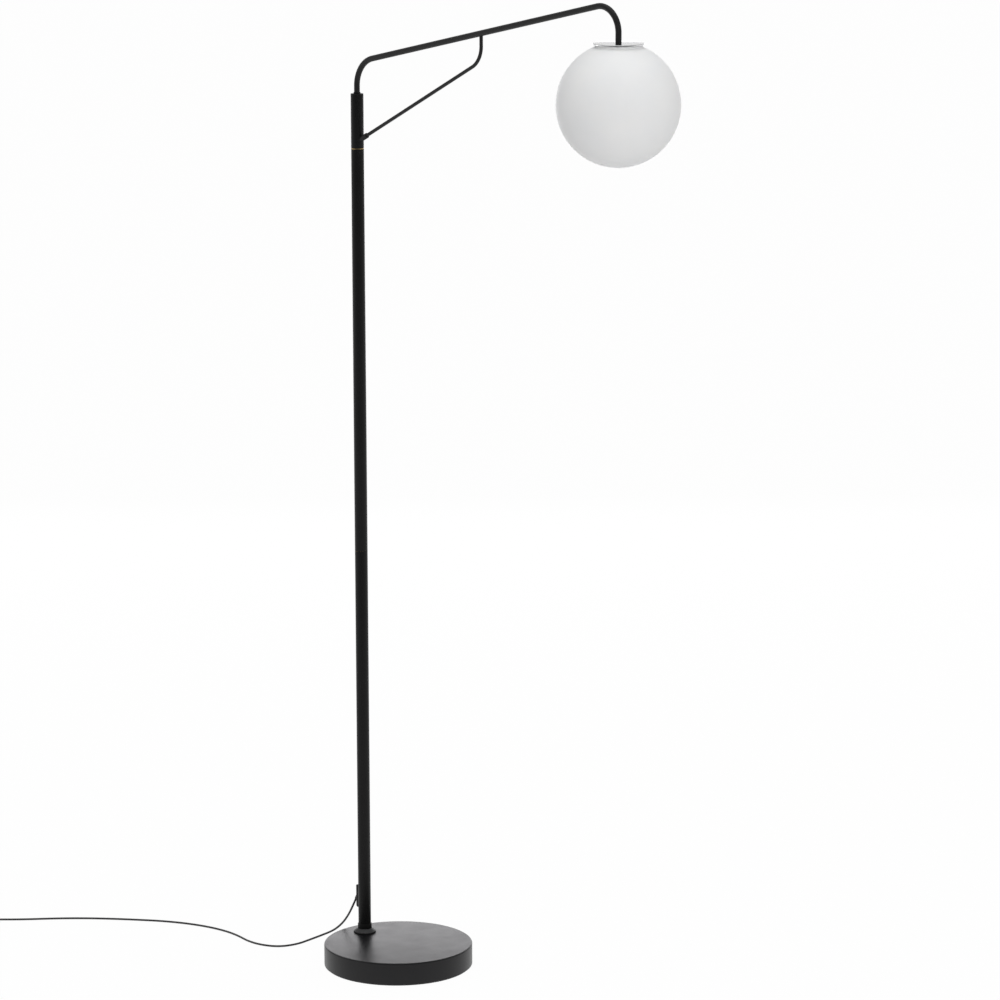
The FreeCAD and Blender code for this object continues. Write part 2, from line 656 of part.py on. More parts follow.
def make_outlet():
    mouth, way = outlet_axis()
    turn = S["outlet_tilt"] + 180
    block = new_body("outlet_block", x=S["pole_x"])
    face = new_sketch(block, "YZ_Plane", "outline", offset=-S["outlet_face"])
    half, low, high = S["outlet_half"], S["outlet_low"], S["outlet_high"]
    spring = low + half
    left = face.addGeometry(Part.LineSegment(Vector(-6, 123, 0), Vector(-6, 88, 0)), False)
    round_end = face.addGeometry(Part.ArcOfCircle(
        Part.Circle(Vector(0, plain(spring), 0), Vector(0, 0, 1), plain(half)),
        math.pi, 2 * math.pi), False)
    right = face.addGeometry(Part.LineSegment(Vector(6, 88, 0), Vector(6, 123, 0)), False)
    top = face.addGeometry(Part.LineSegment(Vector(6, 123, 0), Vector(-6, 123, 0)), False)
    constrain(face, "Tangent", left, 2, round_end, 1)
    constrain(face, "Tangent", round_end, 2, right, 1)
    constrain(face, "Coincident", right, 2, top, 1)
    constrain(face, "Coincident", top, 2, left, 1)
    constrain(face, "Vertical", left)
    constrain(face, "Horizontal", top)
    constrain(face, "Radius", round_end, size=half)
    pin_point(face, round_end, 3, 0, spring)
    constrain(face, "DistanceY", -1, 1, left, 1, size=high)
    pad(block, face, S["outlet_face"] - 6)
    front = -plain(S["outlet_face"])
    dress(block, "Fillet", 1.2,
          lambda edge: all(abs(v.Point.x - front) < 0.01 for v in edge.Vertexes))
    pole = cylinder("outlet_seat", S["pole_radius"] + 0.02, 200, x=S["pole_x"])
    bore = cylinder("outlet_bore", 3.35, 60, x=mouth.x - 30 * way.x, z=mouth.z - 30 * way.z,
                    turn=turn)
    screw_z = low + half
    hole = cylinder("screw_hole", 1.6, 40, x=S["pole_x"] - 40, z=screw_z, turn=90)
    sink = cylinder("screw_sink", 2.65, 20, x=S["pole_x"] - S["outlet_face"] - 18, z=screw_z,
                    turn=90)
    finish(cut("outlet_cut", block, pole, bore, hole, sink), "outlet_plate")

    relief = turned("outlet_relief", [(S["lead_radius"] + 0.02, 0), (3.3, 0), (3.3, 16),
                                      (3.0, 17), (2.5, 16 + S["relief_reach"]),
                                      (S["lead_radius"] + 0.02, 16 + S["relief_reach"])],
                    x=mouth.x - 16 * way.x, z=mouth.z - 16 * way.z, turn=turn,
                    axis=Vector(0, 1, 0))
    finish(relief, "outlet_relief")

    screw = turned("outlet_screw", [(0, 0.2), (2.6, 0.2), (2.6, 1.9), (1.5, 2), (1.5, 8), (0, 8)],
                   x=S["pole_x"] - S["outlet_face"], z=screw_z, turn=90, axis=Vector(0, 1, 0))
    finish(screw, "outlet_screw")


# ---------------------------------------------------------------- globe head

def make_cap():
    radius, top, rim = S["cap_radius"], S["cap_top"], S["cap_rim"]
    disc = turned("cap_disc", [(4.1, top - 1), (radius - 1.2, top - 1), (radius - 1.2, rim),
                               (radius, rim), (radius, top), (4.1, top)], x=S["globe_x"])
    dress(disc, "Fillet", 0.9, ring_edge(radius, top))
    finish(disc, "cap_disc")

    nipple = turned("arm_nipple", [(2.5, top - 29), (3.95, top - 29), (3.95, top + 14),
                                   (2.5, top + 14)], x=S["globe_x"])
    dress(nipple, "Chamfer", 0.6, ring_edge(3.95, top + 14))
    finish(nipple, "arm_nipple")

    plate = top - 1
    fitter = turned("globe_fitter", [(4.1, plate - 1.5), (27.6, plate - 1.5), (27.6, plate - 18.5),
                                     (29.1, plate - 18.5), (29.1, plate), (4.1, plate)],
                    x=S["globe_x"])
    tab = new_sketch(fitter, "XZ_Plane", "tab")
    outline(tab, [(28.4, plate - 18.5), (31.8, plate - 18.5), (31.8, plate - 16.5),
                  (28.4, plate - 16.5)])
    around(fitter, revolve(fitter, tab, S["tab_angle"], "tab_turned"), 3)
    finish(fitter, "globe_fitter")

    washer = turned("nipple_washer", [(4.1, plate - 2.7), (8, plate - 2.7), (8, plate - 1.5),
                                      (4.1, plate - 1.5)], x=S["globe_x"])
    finish(washer, "nipple_washer")
    nut = new_body("nipple_nut", x=S["globe_x"])
    flats = new_sketch(nut, "XY_Plane", "flats", offset=plate - 7)
    polygon(flats, 6, 13)
    circle(flats, 4.0)
    pad(nut, flats, 4.3)
    finish(nut, "nipple_nut")


def make_holder():
    x, top = S["globe_x"], S["cap_top"]
    dome = turned("holder_cap", [(3.98, top - 22), (10, top - 22), (17.7, top - 29.5),
                                 (17.7, top - 37.4), (19.5, top - 37.4), (19.5, top - 28.5),
                                 (12, top - 19.5), (8, top - 17.5), (8, top - 11),
                                 (3.98, top - 11)], x=x)
    dress(dome, "Fillet", 1.5, ring_edge(19.5, top - 28.5))
    finish(dome, "holder_cap")

    insert = new_body("insert_blank", x=x)
    disc = new_sketch(insert, "XY_Plane", "disc", offset=top - 44.5)
    circle(disc, 16.5)
    pad(insert, disc, 9)
    for side in (-1, 1):
        hole = new_sketch(insert, "XY_Plane", "wire_hole", offset=top - 35.5)
        circle(hole, 1.7, across=8 * side, up=4)
        pocket(insert, hole, 9)

    skirt = turned("holder_sleeve", [(17, top - 67.5), (19.5, top - 67.5), (19.5, top - 37.7),
                                     (16.7, top - 37.7), (16.7, top - 46), (17, top - 46)], x=x)
    dress(skirt, "Fillet", 0.8, ring_edge(19.5, top - 67.5))
    finish(skirt, "holder_sleeve")

    shell = turned("holder_screw_shell", [(13.6, top - 65), (14.1, top - 65), (14.1, top - 44.5),
                                          (11.5, top - 44.5), (11.5, top - 45), (13.6, top - 45)],
                   x=x)
    finish(shell, "holder_screw_shell")

    tongue = new_body("holder_tongue", x=x)
    strip = new_sketch(tongue, "XY_Plane", "strip", offset=top - 45.5)
    outline(strip, [(-9, -3), (4, -3), (4, 3), (-9, 3)])
    pad(tongue, strip, 1)
    finish(tongue, "holder_tongue")

    screws = []
    for side in (-1, 1):
        screws.append(turned(f"terminal_screw_{side + 1}",
                             [(0, top - 42), (1.5, top - 42), (1.5, top - 35.4), (2.8, top - 35.4),
                              (2.8, top - 33.4), (0, top - 33.4)],
                             x=x + 8 * side, y=-6))
    holes = [cylinder(f"screw_bore_{side + 1}", 1.55, 20, x=x + 8 * side, y=-6, z=top - 50)
             for side in (-1, 1)]
    finish(cut("insert_bored", insert, *holes), "holder_insert")
    group("terminal_screws", screws)


def make_globe():
    x, z = S["globe_x"], S["globe_z"]
    outer, wall, neck, top = S["globe_radius"], S["glass_wall"], S["neck_radius"], S["neck_top"]
    inner, throat = outer - wall, neck - wall
    glass = new_body("globe_glass", x=x)
    sketch = new_sketch(glass, "XZ_Plane")
    zc = plain(z)
    big, small = plain(outer), plain(inner)
    r_neck, r_throat, z_top = plain(neck), plain(throat), plain(top)
    out_join = math.sqrt(big ** 2 - r_neck ** 2)
    in_join = math.sqrt(small ** 2 - r_throat ** 2)
    centre = Vector(0, zc, 0)
    up = Vector(0, 0, 1)
    items = [
        Part.ArcOfCircle(Part.Circle(centre, up, big), -math.pi / 2, math.atan2(out_join, r_neck)),
        Part.LineSegment(Vector(r_neck, zc + out_join, 0), Vector(r_neck, z_top, 0)),
        Part.LineSegment(Vector(r_neck, z_top, 0), Vector(r_throat, z_top, 0)),
        Part.LineSegment(Vector(r_throat, z_top, 0), Vector(r_throat, zc + in_join, 0)),
        Part.ArcOfCircle(Part.Circle(centre, up, small), -math.pi / 2, math.atan2(in_join, r_throat)),
        Part.LineSegment(Vector(0, zc - small, 0), Vector(0, zc - big, 0)),
    ]
    skin, side, lip, bore, lining, axis = [sketch.addGeometry(item, False) for item in items]
    constrain(sketch, "Coincident", skin, 2, side, 1)
    constrain(sketch, "Coincident", side, 2, lip, 1)
    constrain(sketch, "Coincident", lip, 2, bore, 1)
    constrain(sketch, "Coincident", bore, 2, lining, 2)
    constrain(sketch, "Coincident", lining, 1, axis, 1)
    constrain(sketch, "Coincident", axis, 2, skin, 1)
    constrain(sketch, "PointOnObject", axis, 1, -2)
    constrain(sketch, "PointOnObject", axis, 2, -2)
    pin_point(sketch, skin, 3, 0, z)
    constrain(sketch, "Coincident", lining, 3, skin, 3)
    constrain(sketch, "Radius", skin, size=outer)
    constrain(sketch, "Radius", lining, size=inner)
    constrain(sketch, "Vertical", side)
    constrain(sketch, "Vertical", bore)
    pin_point(sketch, side, 2, neck, top)
    pin_point(sketch, bore, 1, throat, top)
    revolve(glass, sketch)
    finish(glass, "globe_glass")

    plate = S["cap_top"] - 1
    low, high = plate - 16.2, plate - 3.2
    ring = turned("globe_ring", [(32.3, low), (34.6, low), (34.6, high), (32.3, high)], x=x)
    lug = new_sketch(ring, "XZ_Plane", "lug")
    outline(lug, [(29.5, low), (33, low), (33, low + 2), (29.5, low + 2)])
    around(ring, revolve(ring, lug, S["tab_angle"], "lug_turned"), 3)
    finish(ring, "globe_ring")
    seal = turned("globe_seal", [(34.6, low + 2), (throat, low + 2), (throat, high), (34.6, high)],
                  x=x)
    finish(seal, "globe_seal")


def make_bulb():
    x, top, z, radius = S["globe_x"], S["cap_top"], S["bulb_z"], S["bulb_radius"]
    tip = turned("bulb_tip", [(0, top - 47.5), (4.2, top - 47.5), (3.2, top - 45.9),
                              (0, top - 45.9)], x=x)
    finish(tip, "bulb_tip")
    insulator = turned("bulb_insulator", [(0, top - 51), (12.1, top - 51), (9, top - 47.9),
                                          (4.6, top - 47.6), (0, top - 47.6)], x=x)
    finish(insulator, "bulb_insulator")
    shell = turned("bulb_screw_shell", [(12.2, top - 66), (13.25, top - 66), (13.25, top - 51.5),
                                        (12.2, top - 50.5)], x=x)
    finish(shell, "bulb_screw_shell")

    housing = turned("bulb_housing", [(0, z + 8), (radius - 1.5, z + 8), (radius - 1.5, z + 12),
                                      (26.2, z + 20), (22, z + 29), (17.5, z + 39),
                                      (15.6, z + 46), (15.6, top - 66.2), (12.1, top - 66.2),
                                      (12.1, top - 58), (0, top - 58)], x=x)
    finish(housing, "bulb_housing")

    dome = new_body("bulb_dome", x=x)
    sketch = new_sketch(dome, "XZ_Plane")
    zc, big = plain(z), plain(radius)
    rim_z = 7.8
    rim_r = math.sqrt(big ** 2 - rim_z ** 2)
    skin = sketch.addGeometry(Part.ArcOfCircle(
        Part.Circle(Vector(0, zc, 0), Vector(0, 0, 1), big), -math.pi / 2,
        math.atan2(rim_z, rim_r)), False)
    lid = sketch.addGeometry(Part.LineSegment(Vector(rim_r, zc + rim_z, 0),
                                              Vector(0, zc + rim_z, 0)), False)
    axis = sketch.addGeometry(Part.LineSegment(Vector(0, zc + rim_z, 0),
                                               Vector(0, zc - big, 0)), False)
    constrain(sketch, "Coincident", skin, 2, lid, 1)
    constrain(sketch, "Coincident", lid, 2, axis, 1)
    constrain(sketch, "Coincident", axis, 2, skin, 1)
    pin_point(sketch, skin, 3, 0, z)
    constrain(sketch, "Radius", skin, size=radius)
    constrain(sketch, "Horizontal", lid)
    constrain(sketch, "Vertical", axis)
    pin_point(sketch, axis, 1, 0, z + rim_z)
    revolve(dome, sketch)
    finish(dome, "bulb_dome")


# ---------------------------------------------------------------- cable and lead

def rounded_path(points, label, least):
    """Straight runs joined by tangent arcs, each as large as its two runs allow."""
    edges = []
    start = points[0]
    radii = []
    for before, corner, after in zip(points, points[1:], points[2:]):
        back, ahead = before - corner, after - corner
        turn = math.pi - back.getAngle(ahead)
        shorter = min(back.Length, ahead.Length)
        inset = 0.45 * shorter
        radius = inset / math.tan(turn / 2)
        radii.append(radius)
        enter = corner + back.normalize() * inset
        leave = corner + ahead.normalize() * inset
        middle = (enter + leave) * 0.5
        centre = corner + (middle - corner).normalize() * (radius / math.cos(turn / 2))
        peak = centre + (corner - centre).normalize() * radius
        edges.append(Part.LineSegment(start, enter).toShape())
        edges.append(Part.Arc(enter, peak, leave).toShape())
        start = leave
    edges.append(Part.LineSegment(start, points[-1]).toShape())
    print(label, "bend radii", " ".join(f"{radius:.0f}" for radius in radii))
    if min(radii) < least:
        raise RuntimeError(f"{label} bends too tightly")
    return Part.Wire(edges)


def round_tube(wire, radius, label):
    """A round tube along a wire, checked against section times length."""
    first = wire.OrderedEdges[0]
    start = first.valueAt(first.FirstParameter)
    way = first.tangentAt(first.FirstParameter)
    section = Part.Wire([Part.Circle(start, way, radius).toShape()])
    shape = wire.makePipeShell([section], True, False)
    expected = math.pi * radius ** 2 * wire.Length
    print(label, f"length {wire.Length:.1f}, volume / (section x length) "
                 f"{shape.Volume / expected:.4f}")
    if abs(shape.Volume / expected - 1) > 0.01 or not shape.isValid():
        raise RuntimeError(f"{label} is not a clean tube")
    return shape


def tube_node(label, points, least=18):
    wire = rounded_path([Vector(*point) for point in points], label, least)
    piece = doc.addObject("Part::Feature", label)
    piece.Shape = round_tube(wire, plain(S["lead_radius"]), label)
    piece.Placement = FreeCAD.Placement()
    return finish(piece, label)


def make_inner_cable():
    """From the lamp holder up through the arm, down the pole and out of the outlet."""
    mouth, way = outlet_axis()
    pole_x, globe_x = plain(S["pole_x"]), plain(S["globe_x"])
    rise = math.radians(plain(S["arm_slope"]))
    low, high = plain(S["arm_bend_low"]), plain(S["arm_bend_high"])
    turn_z = plain(S["arm_turn_start"])
    low_centre = Vector(pole_x + low, 0, turn_z)
    leave = low_centre + Vector(-math.sin(rise), 0, math.cos(rise)) * low
    reach_x = globe_x - high - high * math.sin(rise)
    reach = leave + Vector(1, 0, math.tan(rise)) * (reach_x - leave.x)
    high_centre = reach - Vector(-math.sin(rise), 0, math.cos(rise)) * high
    half_high = (math.pi / 2 + rise) / 2
    low_peak = low_centre + Vector(-math.sin((math.pi / 2 + rise) / 2), 0,
                                   math.cos((math.pi / 2 + rise) / 2)) * low
    high_peak = high_centre + Vector(math.cos(half_high), 0, math.sin(half_high)) * high
    exit_end = mouth + way * (plain(S["relief_reach"]))
    tilt = math.radians(plain(S["outlet_tilt"]))
    bend = 24
    corner = mouth - way * ((mouth.x - pole_x) / way.x)
    inset = bend * math.tan(tilt / 2)
    above = corner + Vector(0, 0, inset)
    below = corner + way * inset
    bend_centre = above + Vector(-bend, 0, 0)
    bend_peak = bend_centre + Vector(math.cos(-tilt / 2), 0, math.sin(-tilt / 2)) * bend
    holder_end = Vector(globe_x, 0, plain(S["cap_top"]) - 31)
    wire = Part.Wire([
        Part.LineSegment(holder_end, Vector(globe_x, 0, high_centre.z)).toShape(),
        Part.Arc(Vector(globe_x, 0, high_centre.z), high_peak, reach).toShape(),
        Part.LineSegment(reach, leave).toShape(),
        Part.Arc(leave, low_peak, Vector(pole_x, 0, turn_z)).toShape(),
        Part.LineSegment(Vector(pole_x, 0, turn_z), above).toShape(),
        Part.Arc(above, bend_peak, below).toShape(),
        Part.LineSegment(below, exit_end).toShape(),
    ])
    piece = doc.addObject("Part::Feature", "cable_inner")
    piece.Shape = round_tube(wire, plain(S["lead_radius"]), "cable_inner")
    piece.Placement = FreeCAD.Placement()
    finish(piece, "cable_inner")
    grip = turned("cable_grip", [(S["lead_radius"] + 0.02, 170), (7, 170), (7, 182),
                                 (S["lead_radius"] + 0.02, 182)], x=S["pole_x"])
    dress(grip, "Chamfer", 1, ring_edge(7, 182))
    finish(grip, "cable_grip")


def coil_centre(turns, layers, angle):
    """Point of the wound lead's centreline after this many radians."""
    per_layer = 2 * math.pi * turns / layers
    outer, pitch = plain(S["coil_outer"]), plain(S["coil_pitch"])
    steps = angle / per_layer
    layer = min(int(steps), layers - 1)
    part = steps - layer
    inwards = part if layer % 2 == 0 else 1 - part
    depth = inwards * pitch * turns / layers
    height = plain(S["coil_floor"]) + plain(S["layer_pitch"]) * layer
    for border in range(1, layers):
        away = (angle - border * per_layer) / (math.pi / 2)
        if abs(away) < 1:
            blend = 0.5 + 0.75 * away - 0.25 * away ** 3
            height = plain(S["coil_floor"]) + plain(S["layer_pitch"]) * (border - 1 + blend)
            softened = pitch / 8 * (1 - abs(away)) ** 2
            depth += -softened if border % 2 else softened
    radius = outer - depth
    way = -math.pi / 2 - angle
    return Vector(plain(S["coil_x"]) + radius * math.cos(way),
                  plain(S["coil_y"]) + radius * math.sin(way), height)


def biarc(start, leave, end, arrive):
    """Two arcs that join two points and keep their directions."""
    gap = end - start
    total = leave + arrive
    down = 2 * (1 - leave.dot(arrive))
    mixed = gap.dot(total)
    reach = (-mixed + math.sqrt(mixed ** 2 + down * gap.dot(gap))) / down
    first_corner = start + leave * reach
    second_corner = end - arrive * reach
    middle = (first_corner + second_corner) * 0.5
    arcs = []
    for a, corner, b in ((start, first_corner, middle), (middle, second_corner, end)):
        half = (b - a).Length / 2
        foot = (a + b) * 0.5
        height = (corner - foot).Length
        sagitta = half * (math.sqrt(half ** 2 + height ** 2) - half) / height
        peak = foot + (corner - foot).normalize() * sagitta
        arcs.append(Part.Arc(a, peak, b).toShape())
    return arcs


def make_coil(turns=7.25, layers=4):
    """The unseen length, wound in and out in four layers as one unbroken tube."""
    stop = 2 * math.pi * turns
    nudge = 1e-4
    step = math.pi / 2
    count = round(stop / step)

    def place_and_way(angle):
        near = max(nudge, min(stop - nudge, angle))
        way = coil_centre(turns, layers, near + nudge) - coil_centre(turns, layers, near - nudge)
        return coil_centre(turns, layers, angle), way.normalize()

    spots = [place_and_way(stop * index / count) for index in range(count + 1)]
    flat_in = Vector(spots[0][1].x, spots[0][1].y, 0).normalize()
    flat_out = Vector(spots[-1][1].x, spots[-1][1].y, 0).normalize()
    spots[0] = (spots[0][0], flat_in)
    spots[-1] = (spots[-1][0], flat_out)
    straight = 2 * plain(S["lead_radius"])
    start = spots[0][0] - flat_in * straight
    end = spots[-1][0] + flat_out * straight
    edges = [Part.LineSegment(start, spots[0][0]).toShape()]
    for (a, leave), (b, arrive) in zip(spots, spots[1:]):
        edges += biarc(a, leave, b, arrive)
    edges.append(Part.LineSegment(spots[-1][0], end).toShape())
    wire = Part.Wire(edges)

    line = wire.discretize(Distance=1.0)
    skip = int(2.2 * math.pi * plain(S["coil_outer"]) / 3)
    least = min((line[i] - line[j]).Length for i in range(len(line))
                for j in range(i + skip, len(line)))
    gap = least - straight
    print(f"coil length {wire.Length:.1f}, least gap between turns {gap:.2f}")
    if gap < 0.4:
        raise RuntimeError("the wound turns are too close")
    piece = doc.addObject("Part::Feature", "cord_coil")
    piece.Shape = round_tube(wire, plain(S["lead_radius"]), "cord_coil")
    piece.Placement = FreeCAD.Placement()
    finish(piece, "cord_coil")
    return start, end, flat_in, flat_out


def switch_frame():
    """The switch's middle and the lead's direction through it."""
    heading = math.radians(plain(S["switch_heading"]))
    middle = Vector(plain(S["switch_x"]), plain(S["switch_y"]), 0)
    return middle, Vector(math.cos(heading), math.sin(heading), 0)


LEAD_ROUTE = [
    (-118.5, 0, 83.5), (-132, 0, 63), (-148, -1, 43.5), (-167, -5, 27), (-181, -19, 18),
    (-190, -38, 11.5), (-200, -62, 5), (-219, -89, 2), (-251, -104, 2), (-284, -105, 2),
    (-318, -97, 2), (-354, -94, 2), (-396, -99, 2), (-440, -113, 2), (-484, -136, 2),
    (-523, -165, 2), (-562, -196, 2), (-600, -231, 2), (-634, -269, 2), (-664, -309, 2),
    (-688, -350, 5),
]


def make_lead():
    mouth, way = outlet_axis()
    begin = mouth + way * plain(S["relief_reach"])
    middle, along = switch_frame()
    lead_height = plain(S["switch_split"])
    half = plain(S["switch_half"] + S["boot_reach"])
    near = middle - along * half + Vector(0, 0, lead_height)
    far = middle + along * half + Vector(0, 0, lead_height)
    tube_node("cord_lead", [tuple(begin)] + LEAD_ROUTE + [tuple(near)])
    start, end, flat_in, flat_out = make_coil()
    corner = far + along * 24 - Vector(0, 0, 3)
    tube_node("cord_link", [tuple(far), tuple(corner), tuple(start - flat_in * 14),
                            tuple(start)], least=10)
    plug = Vector(end.x, plain(S["plug_y"]), 7)
    tube_node("cord_end", [tuple(end), (end.x, end.y + 12, end.z),
                           (plug.x, plug.y - 12, plug.z), tuple(plug)], least=10)
    return plug


# ---------------------------------------------------------------- foot switch and plug

def stadium(sketch, length, width):
    """A long round-ended outline about the origin."""
    radius = width / 2
    run = length / 2 - radius
    top = sketch.addGeometry(Part.LineSegment(Vector(run, radius, 0), Vector(-run, radius, 0)), False)
    left = sketch.addGeometry(Part.ArcOfCircle(
        Part.Circle(Vector(-run, 0, 0), Vector(0, 0, 1), radius), math.pi / 2, 3 * math.pi / 2), False)
    low = sketch.addGeometry(Part.LineSegment(Vector(-run, -radius, 0), Vector(run, -radius, 0)), False)
    right = sketch.addGeometry(Part.ArcOfCircle(
        Part.Circle(Vector(run, 0, 0), Vector(0, 0, 1), radius), -math.pi / 2, math.pi / 2), False)
    constrain(sketch, "Tangent", top, 2, left, 1)
    constrain(sketch, "Tangent", left, 2, low, 1)
    constrain(sketch, "Tangent", low, 2, right, 1)
    constrain(sketch, "Tangent", right, 2, top, 1)
    constrain(sketch, "Horizontal", top)
    constrain(sketch, "Radius", left, size=radius)
    pin_point(sketch, left, 3, -run, 0)
    pin_point(sketch, right, 3, run, 0)


def make_switch():
    middle, along = switch_frame()
    spot = {"x": S["switch_x"], "y": S["switch_y"], "turn": S["switch_heading"]}
    length, width = 2 * plain(S["switch_half"]), plain(S["switch_width"])
    button, split, top = S["button_radius"], S["switch_split"], S["switch_top"]

    tray = new_body("tray", **spot)
    outer = new_sketch(tray, "XY_Plane", "outline", offset=0.3)
    stadium(outer, length, width)
    pad(tray, outer, split - 0.3)
    dress(tray, "Fillet", 1.5, lambda edge: all(abs(v.Point.z - 0.3) < 0.01 for v in edge.Vertexes))
    hollow = new_sketch(tray, "XY_Plane", "hollow", offset=split)
    stadium(hollow, length - 4, width - 4)
    pocket(tray, hollow, 5.7)
    opened = cut("tray_opened", tray, lead_tunnel("tray_tunnel"))

    lid = new_body("lid", **spot)
    outer = new_sketch(lid, "XY_Plane", "outline", offset=split)
    stadium(outer, length, width)
    pad(lid, outer, top - split)
    dress(lid, "Fillet", 9,
          lambda edge: all(abs(v.Point.z - plain(top)) < 0.01 for v in edge.Vertexes))
    hollow = new_sketch(lid, "XY_Plane", "hollow", offset=split)
    stadium(hollow, length - 14, width - 14)
    pocket(lid, hollow, 12, reverse=True)
    opening = new_sketch(lid, "XY_Plane", "button_hole", offset=top)
    circle(opening, button + 0.4)
    pocket(lid, opening, 5)
    finish(cut("lid_opened", lid, lead_tunnel("lid_tunnel")), "switch_cover")

    cap = turned("switch_button", [(0, 12.5), (4, 12.5), (4, 17), (button - 2, 17),
                                   (button - 2, 15), (button, 15), (button, 25), (0, 25)], **spot)
    dress(cap, "Fillet", 2.5, ring_edge(button, 25))
    finish(cap, "switch_button")

    block = new_body("switch_block", **spot)
    base = new_sketch(block, "XY_Plane", "block", offset=2.3)
    outline(base, [(-13, -9), (13, -9), (13, 9), (-13, 9)])
    pad(block, base, 5.5)
    dress(block, "Chamfer", 0.8, lambda edge: all(abs(v.Point.z - 7.8) < 0.01 for v in edge.Vertexes))
    finish(block, "switch_block")

    screws, bores = [], []
    for side in (-1, 1):
        spot = middle + along * (side * plain(S["switch_screw"]))
        screws.append(turned(f"switch_screw_{side + 1}", [(0, 0.4), (2.7, 0.4), (2.7, 1.8),
                                                          (1.4, 2.2), (1.4, 7.9), (0, 7.9)],
                             x=spot.x, y=spot.y))
        bores.append(cylinder(f"switch_screw_bore_{side + 1}", 2.75, 3, x=spot.x, y=spot.y))
    finish(cut("tray_bored", opened, *bores), "switch_base")
    group("switch_screws", screws)

    reliefs = []
    boot, bore = S["boot_length"], S["lead_radius"] + 0.02
    inside = plain(S["switch_half"] + S["boot_reach"] - boot)
    for side in (-1, 1):
        start = middle + along * (side * inside) + Vector(0, 0, plain(split))
        turn = Rotation(Vector(0, 0, 1), along * side)
        sleeve = turned(f"switch_relief_{side + 1}",
                        [(bore, 0), (3.9, 0), (3.9, 12), (2.5, boot), (bore, boot)])
        sleeve.Placement = FreeCAD.Placement(start, turn)
        reliefs.append(sleeve)
    group("switch_reliefs", reliefs)


def lead_tunnel(name):
    """Passage for the lead and its strain reliefs, right through the switch."""
    middle, along = switch_frame()
    start = middle - along * 70 + Vector(0, 0, plain(S["switch_split"]))
    rod = doc.addObject("Part::Cylinder", name)
    rod.Radius = 4
    rod.Height = 140
    rod.Placement = FreeCAD.Placement(start, Rotation(Vector(0, 0, 1), along))
    return rod


def make_plug(tail):
    """Flat two-pin plug, cord end towards -Y and pins towards +Y."""
    body = new_body("plug_body", x=tail.x, y=tail.y, z=tail.z)
    stations = [(19, 4.2, 4.2), (25, 7.5, 5.4), (37, 13.5, 6.6), (53, 17.5, 6.7)]
    sections = []
    for reach, half_width, half_height in stations:
        sketch = new_sketch(body, "XZ_Plane", "station", offset=-reach)
        outline(sketch, [(-half_width, -half_height * 0.45), (-half_width * 0.72, -half_height),
                         (half_width * 0.72, -half_height), (half_width, -half_height * 0.45),
                         (half_width, half_height * 0.45), (half_width * 0.72, half_height),
                         (-half_width * 0.72, half_height), (-half_width, half_height * 0.45)])
        sections.append(sketch)
    loft = body.newObject("PartDesign::AdditiveLoft", "moulding")
    loft.Profile = sections[0]
    loft.Sections = sections[1:]
    loft.Ruled = True
    sleeve = new_sketch(body, "XY_Plane", "sleeve")
    outline(sleeve, [(0, 0), (2.4, 0), (4.1, 20), (0, 20)])
    revolve(body, sleeve, name="relief")
    finish(body, "plug_body")

    pins = []
    for side in (-1, 1):
        pin = turned(f"plug_pin_{side + 1}", [(0, 0), (2, 0), (2, 18), (1.2, 19), (0, 19)],
                     x=tail.x + side * 9.3, y=tail.y + stations[-1][0], z=tail.z, turn=-90,
                     axis=Vector(1, 0, 0))
        pins.append(pin)
    group("plug_pins", pins)


def make_tie():
    """Strap round the wound lead, on its far side."""
    x, y = S["coil_x"], S["coil_y"] + S["coil_outer"] - 3.8
    body = new_body("cord_tie", x=x, y=y)
    low, high, half = 0.3, 18.7, 7.6
    sketch = new_sketch(body, "YZ_Plane", "strap")
    outline(sketch, [(-half, low), (half, low), (half, high), (-half, high)])
    outline(sketch, [(-half + 0.8, low + 0.8), (half - 0.8, low + 0.8), (half - 0.8, high - 0.8),
                     (-half + 0.8, high - 0.8)])
    pad(body, sketch, 5, symmetric=True)
    finish(body, "cord_tie")


def write_parts():
    """Check every object and write each sub-part to its own file."""
    doc.recompute()
    for item in doc.Objects:
        if "Invalid" in item.State or "Error" in item.State:
            raise RuntimeError(f"{item.Label} did not recompute: {item.State}")
    os.makedirs("parts", exist_ok=True)
    for piece in nodes:
        shape = piece.Shape
        if shape.isNull() or not shape.isValid() or not shape.Solids:
            raise RuntimeError(f"{piece.Label} is not a valid solid")
        shape.exportStep(f"parts/{piece.Label}.step")
    print(len(nodes), "parts written")


make_base()
make_foot()
make_pole()
make_arm()
make_outlet()
make_cap()
make_holder()
make_globe()
make_bulb()
make_inner_cable()
make_switch()
make_plug(make_lead())
make_tie()
write_parts()
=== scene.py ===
import json
import math
import bmesh
import bpy
from mathutils import Matrix, Vector

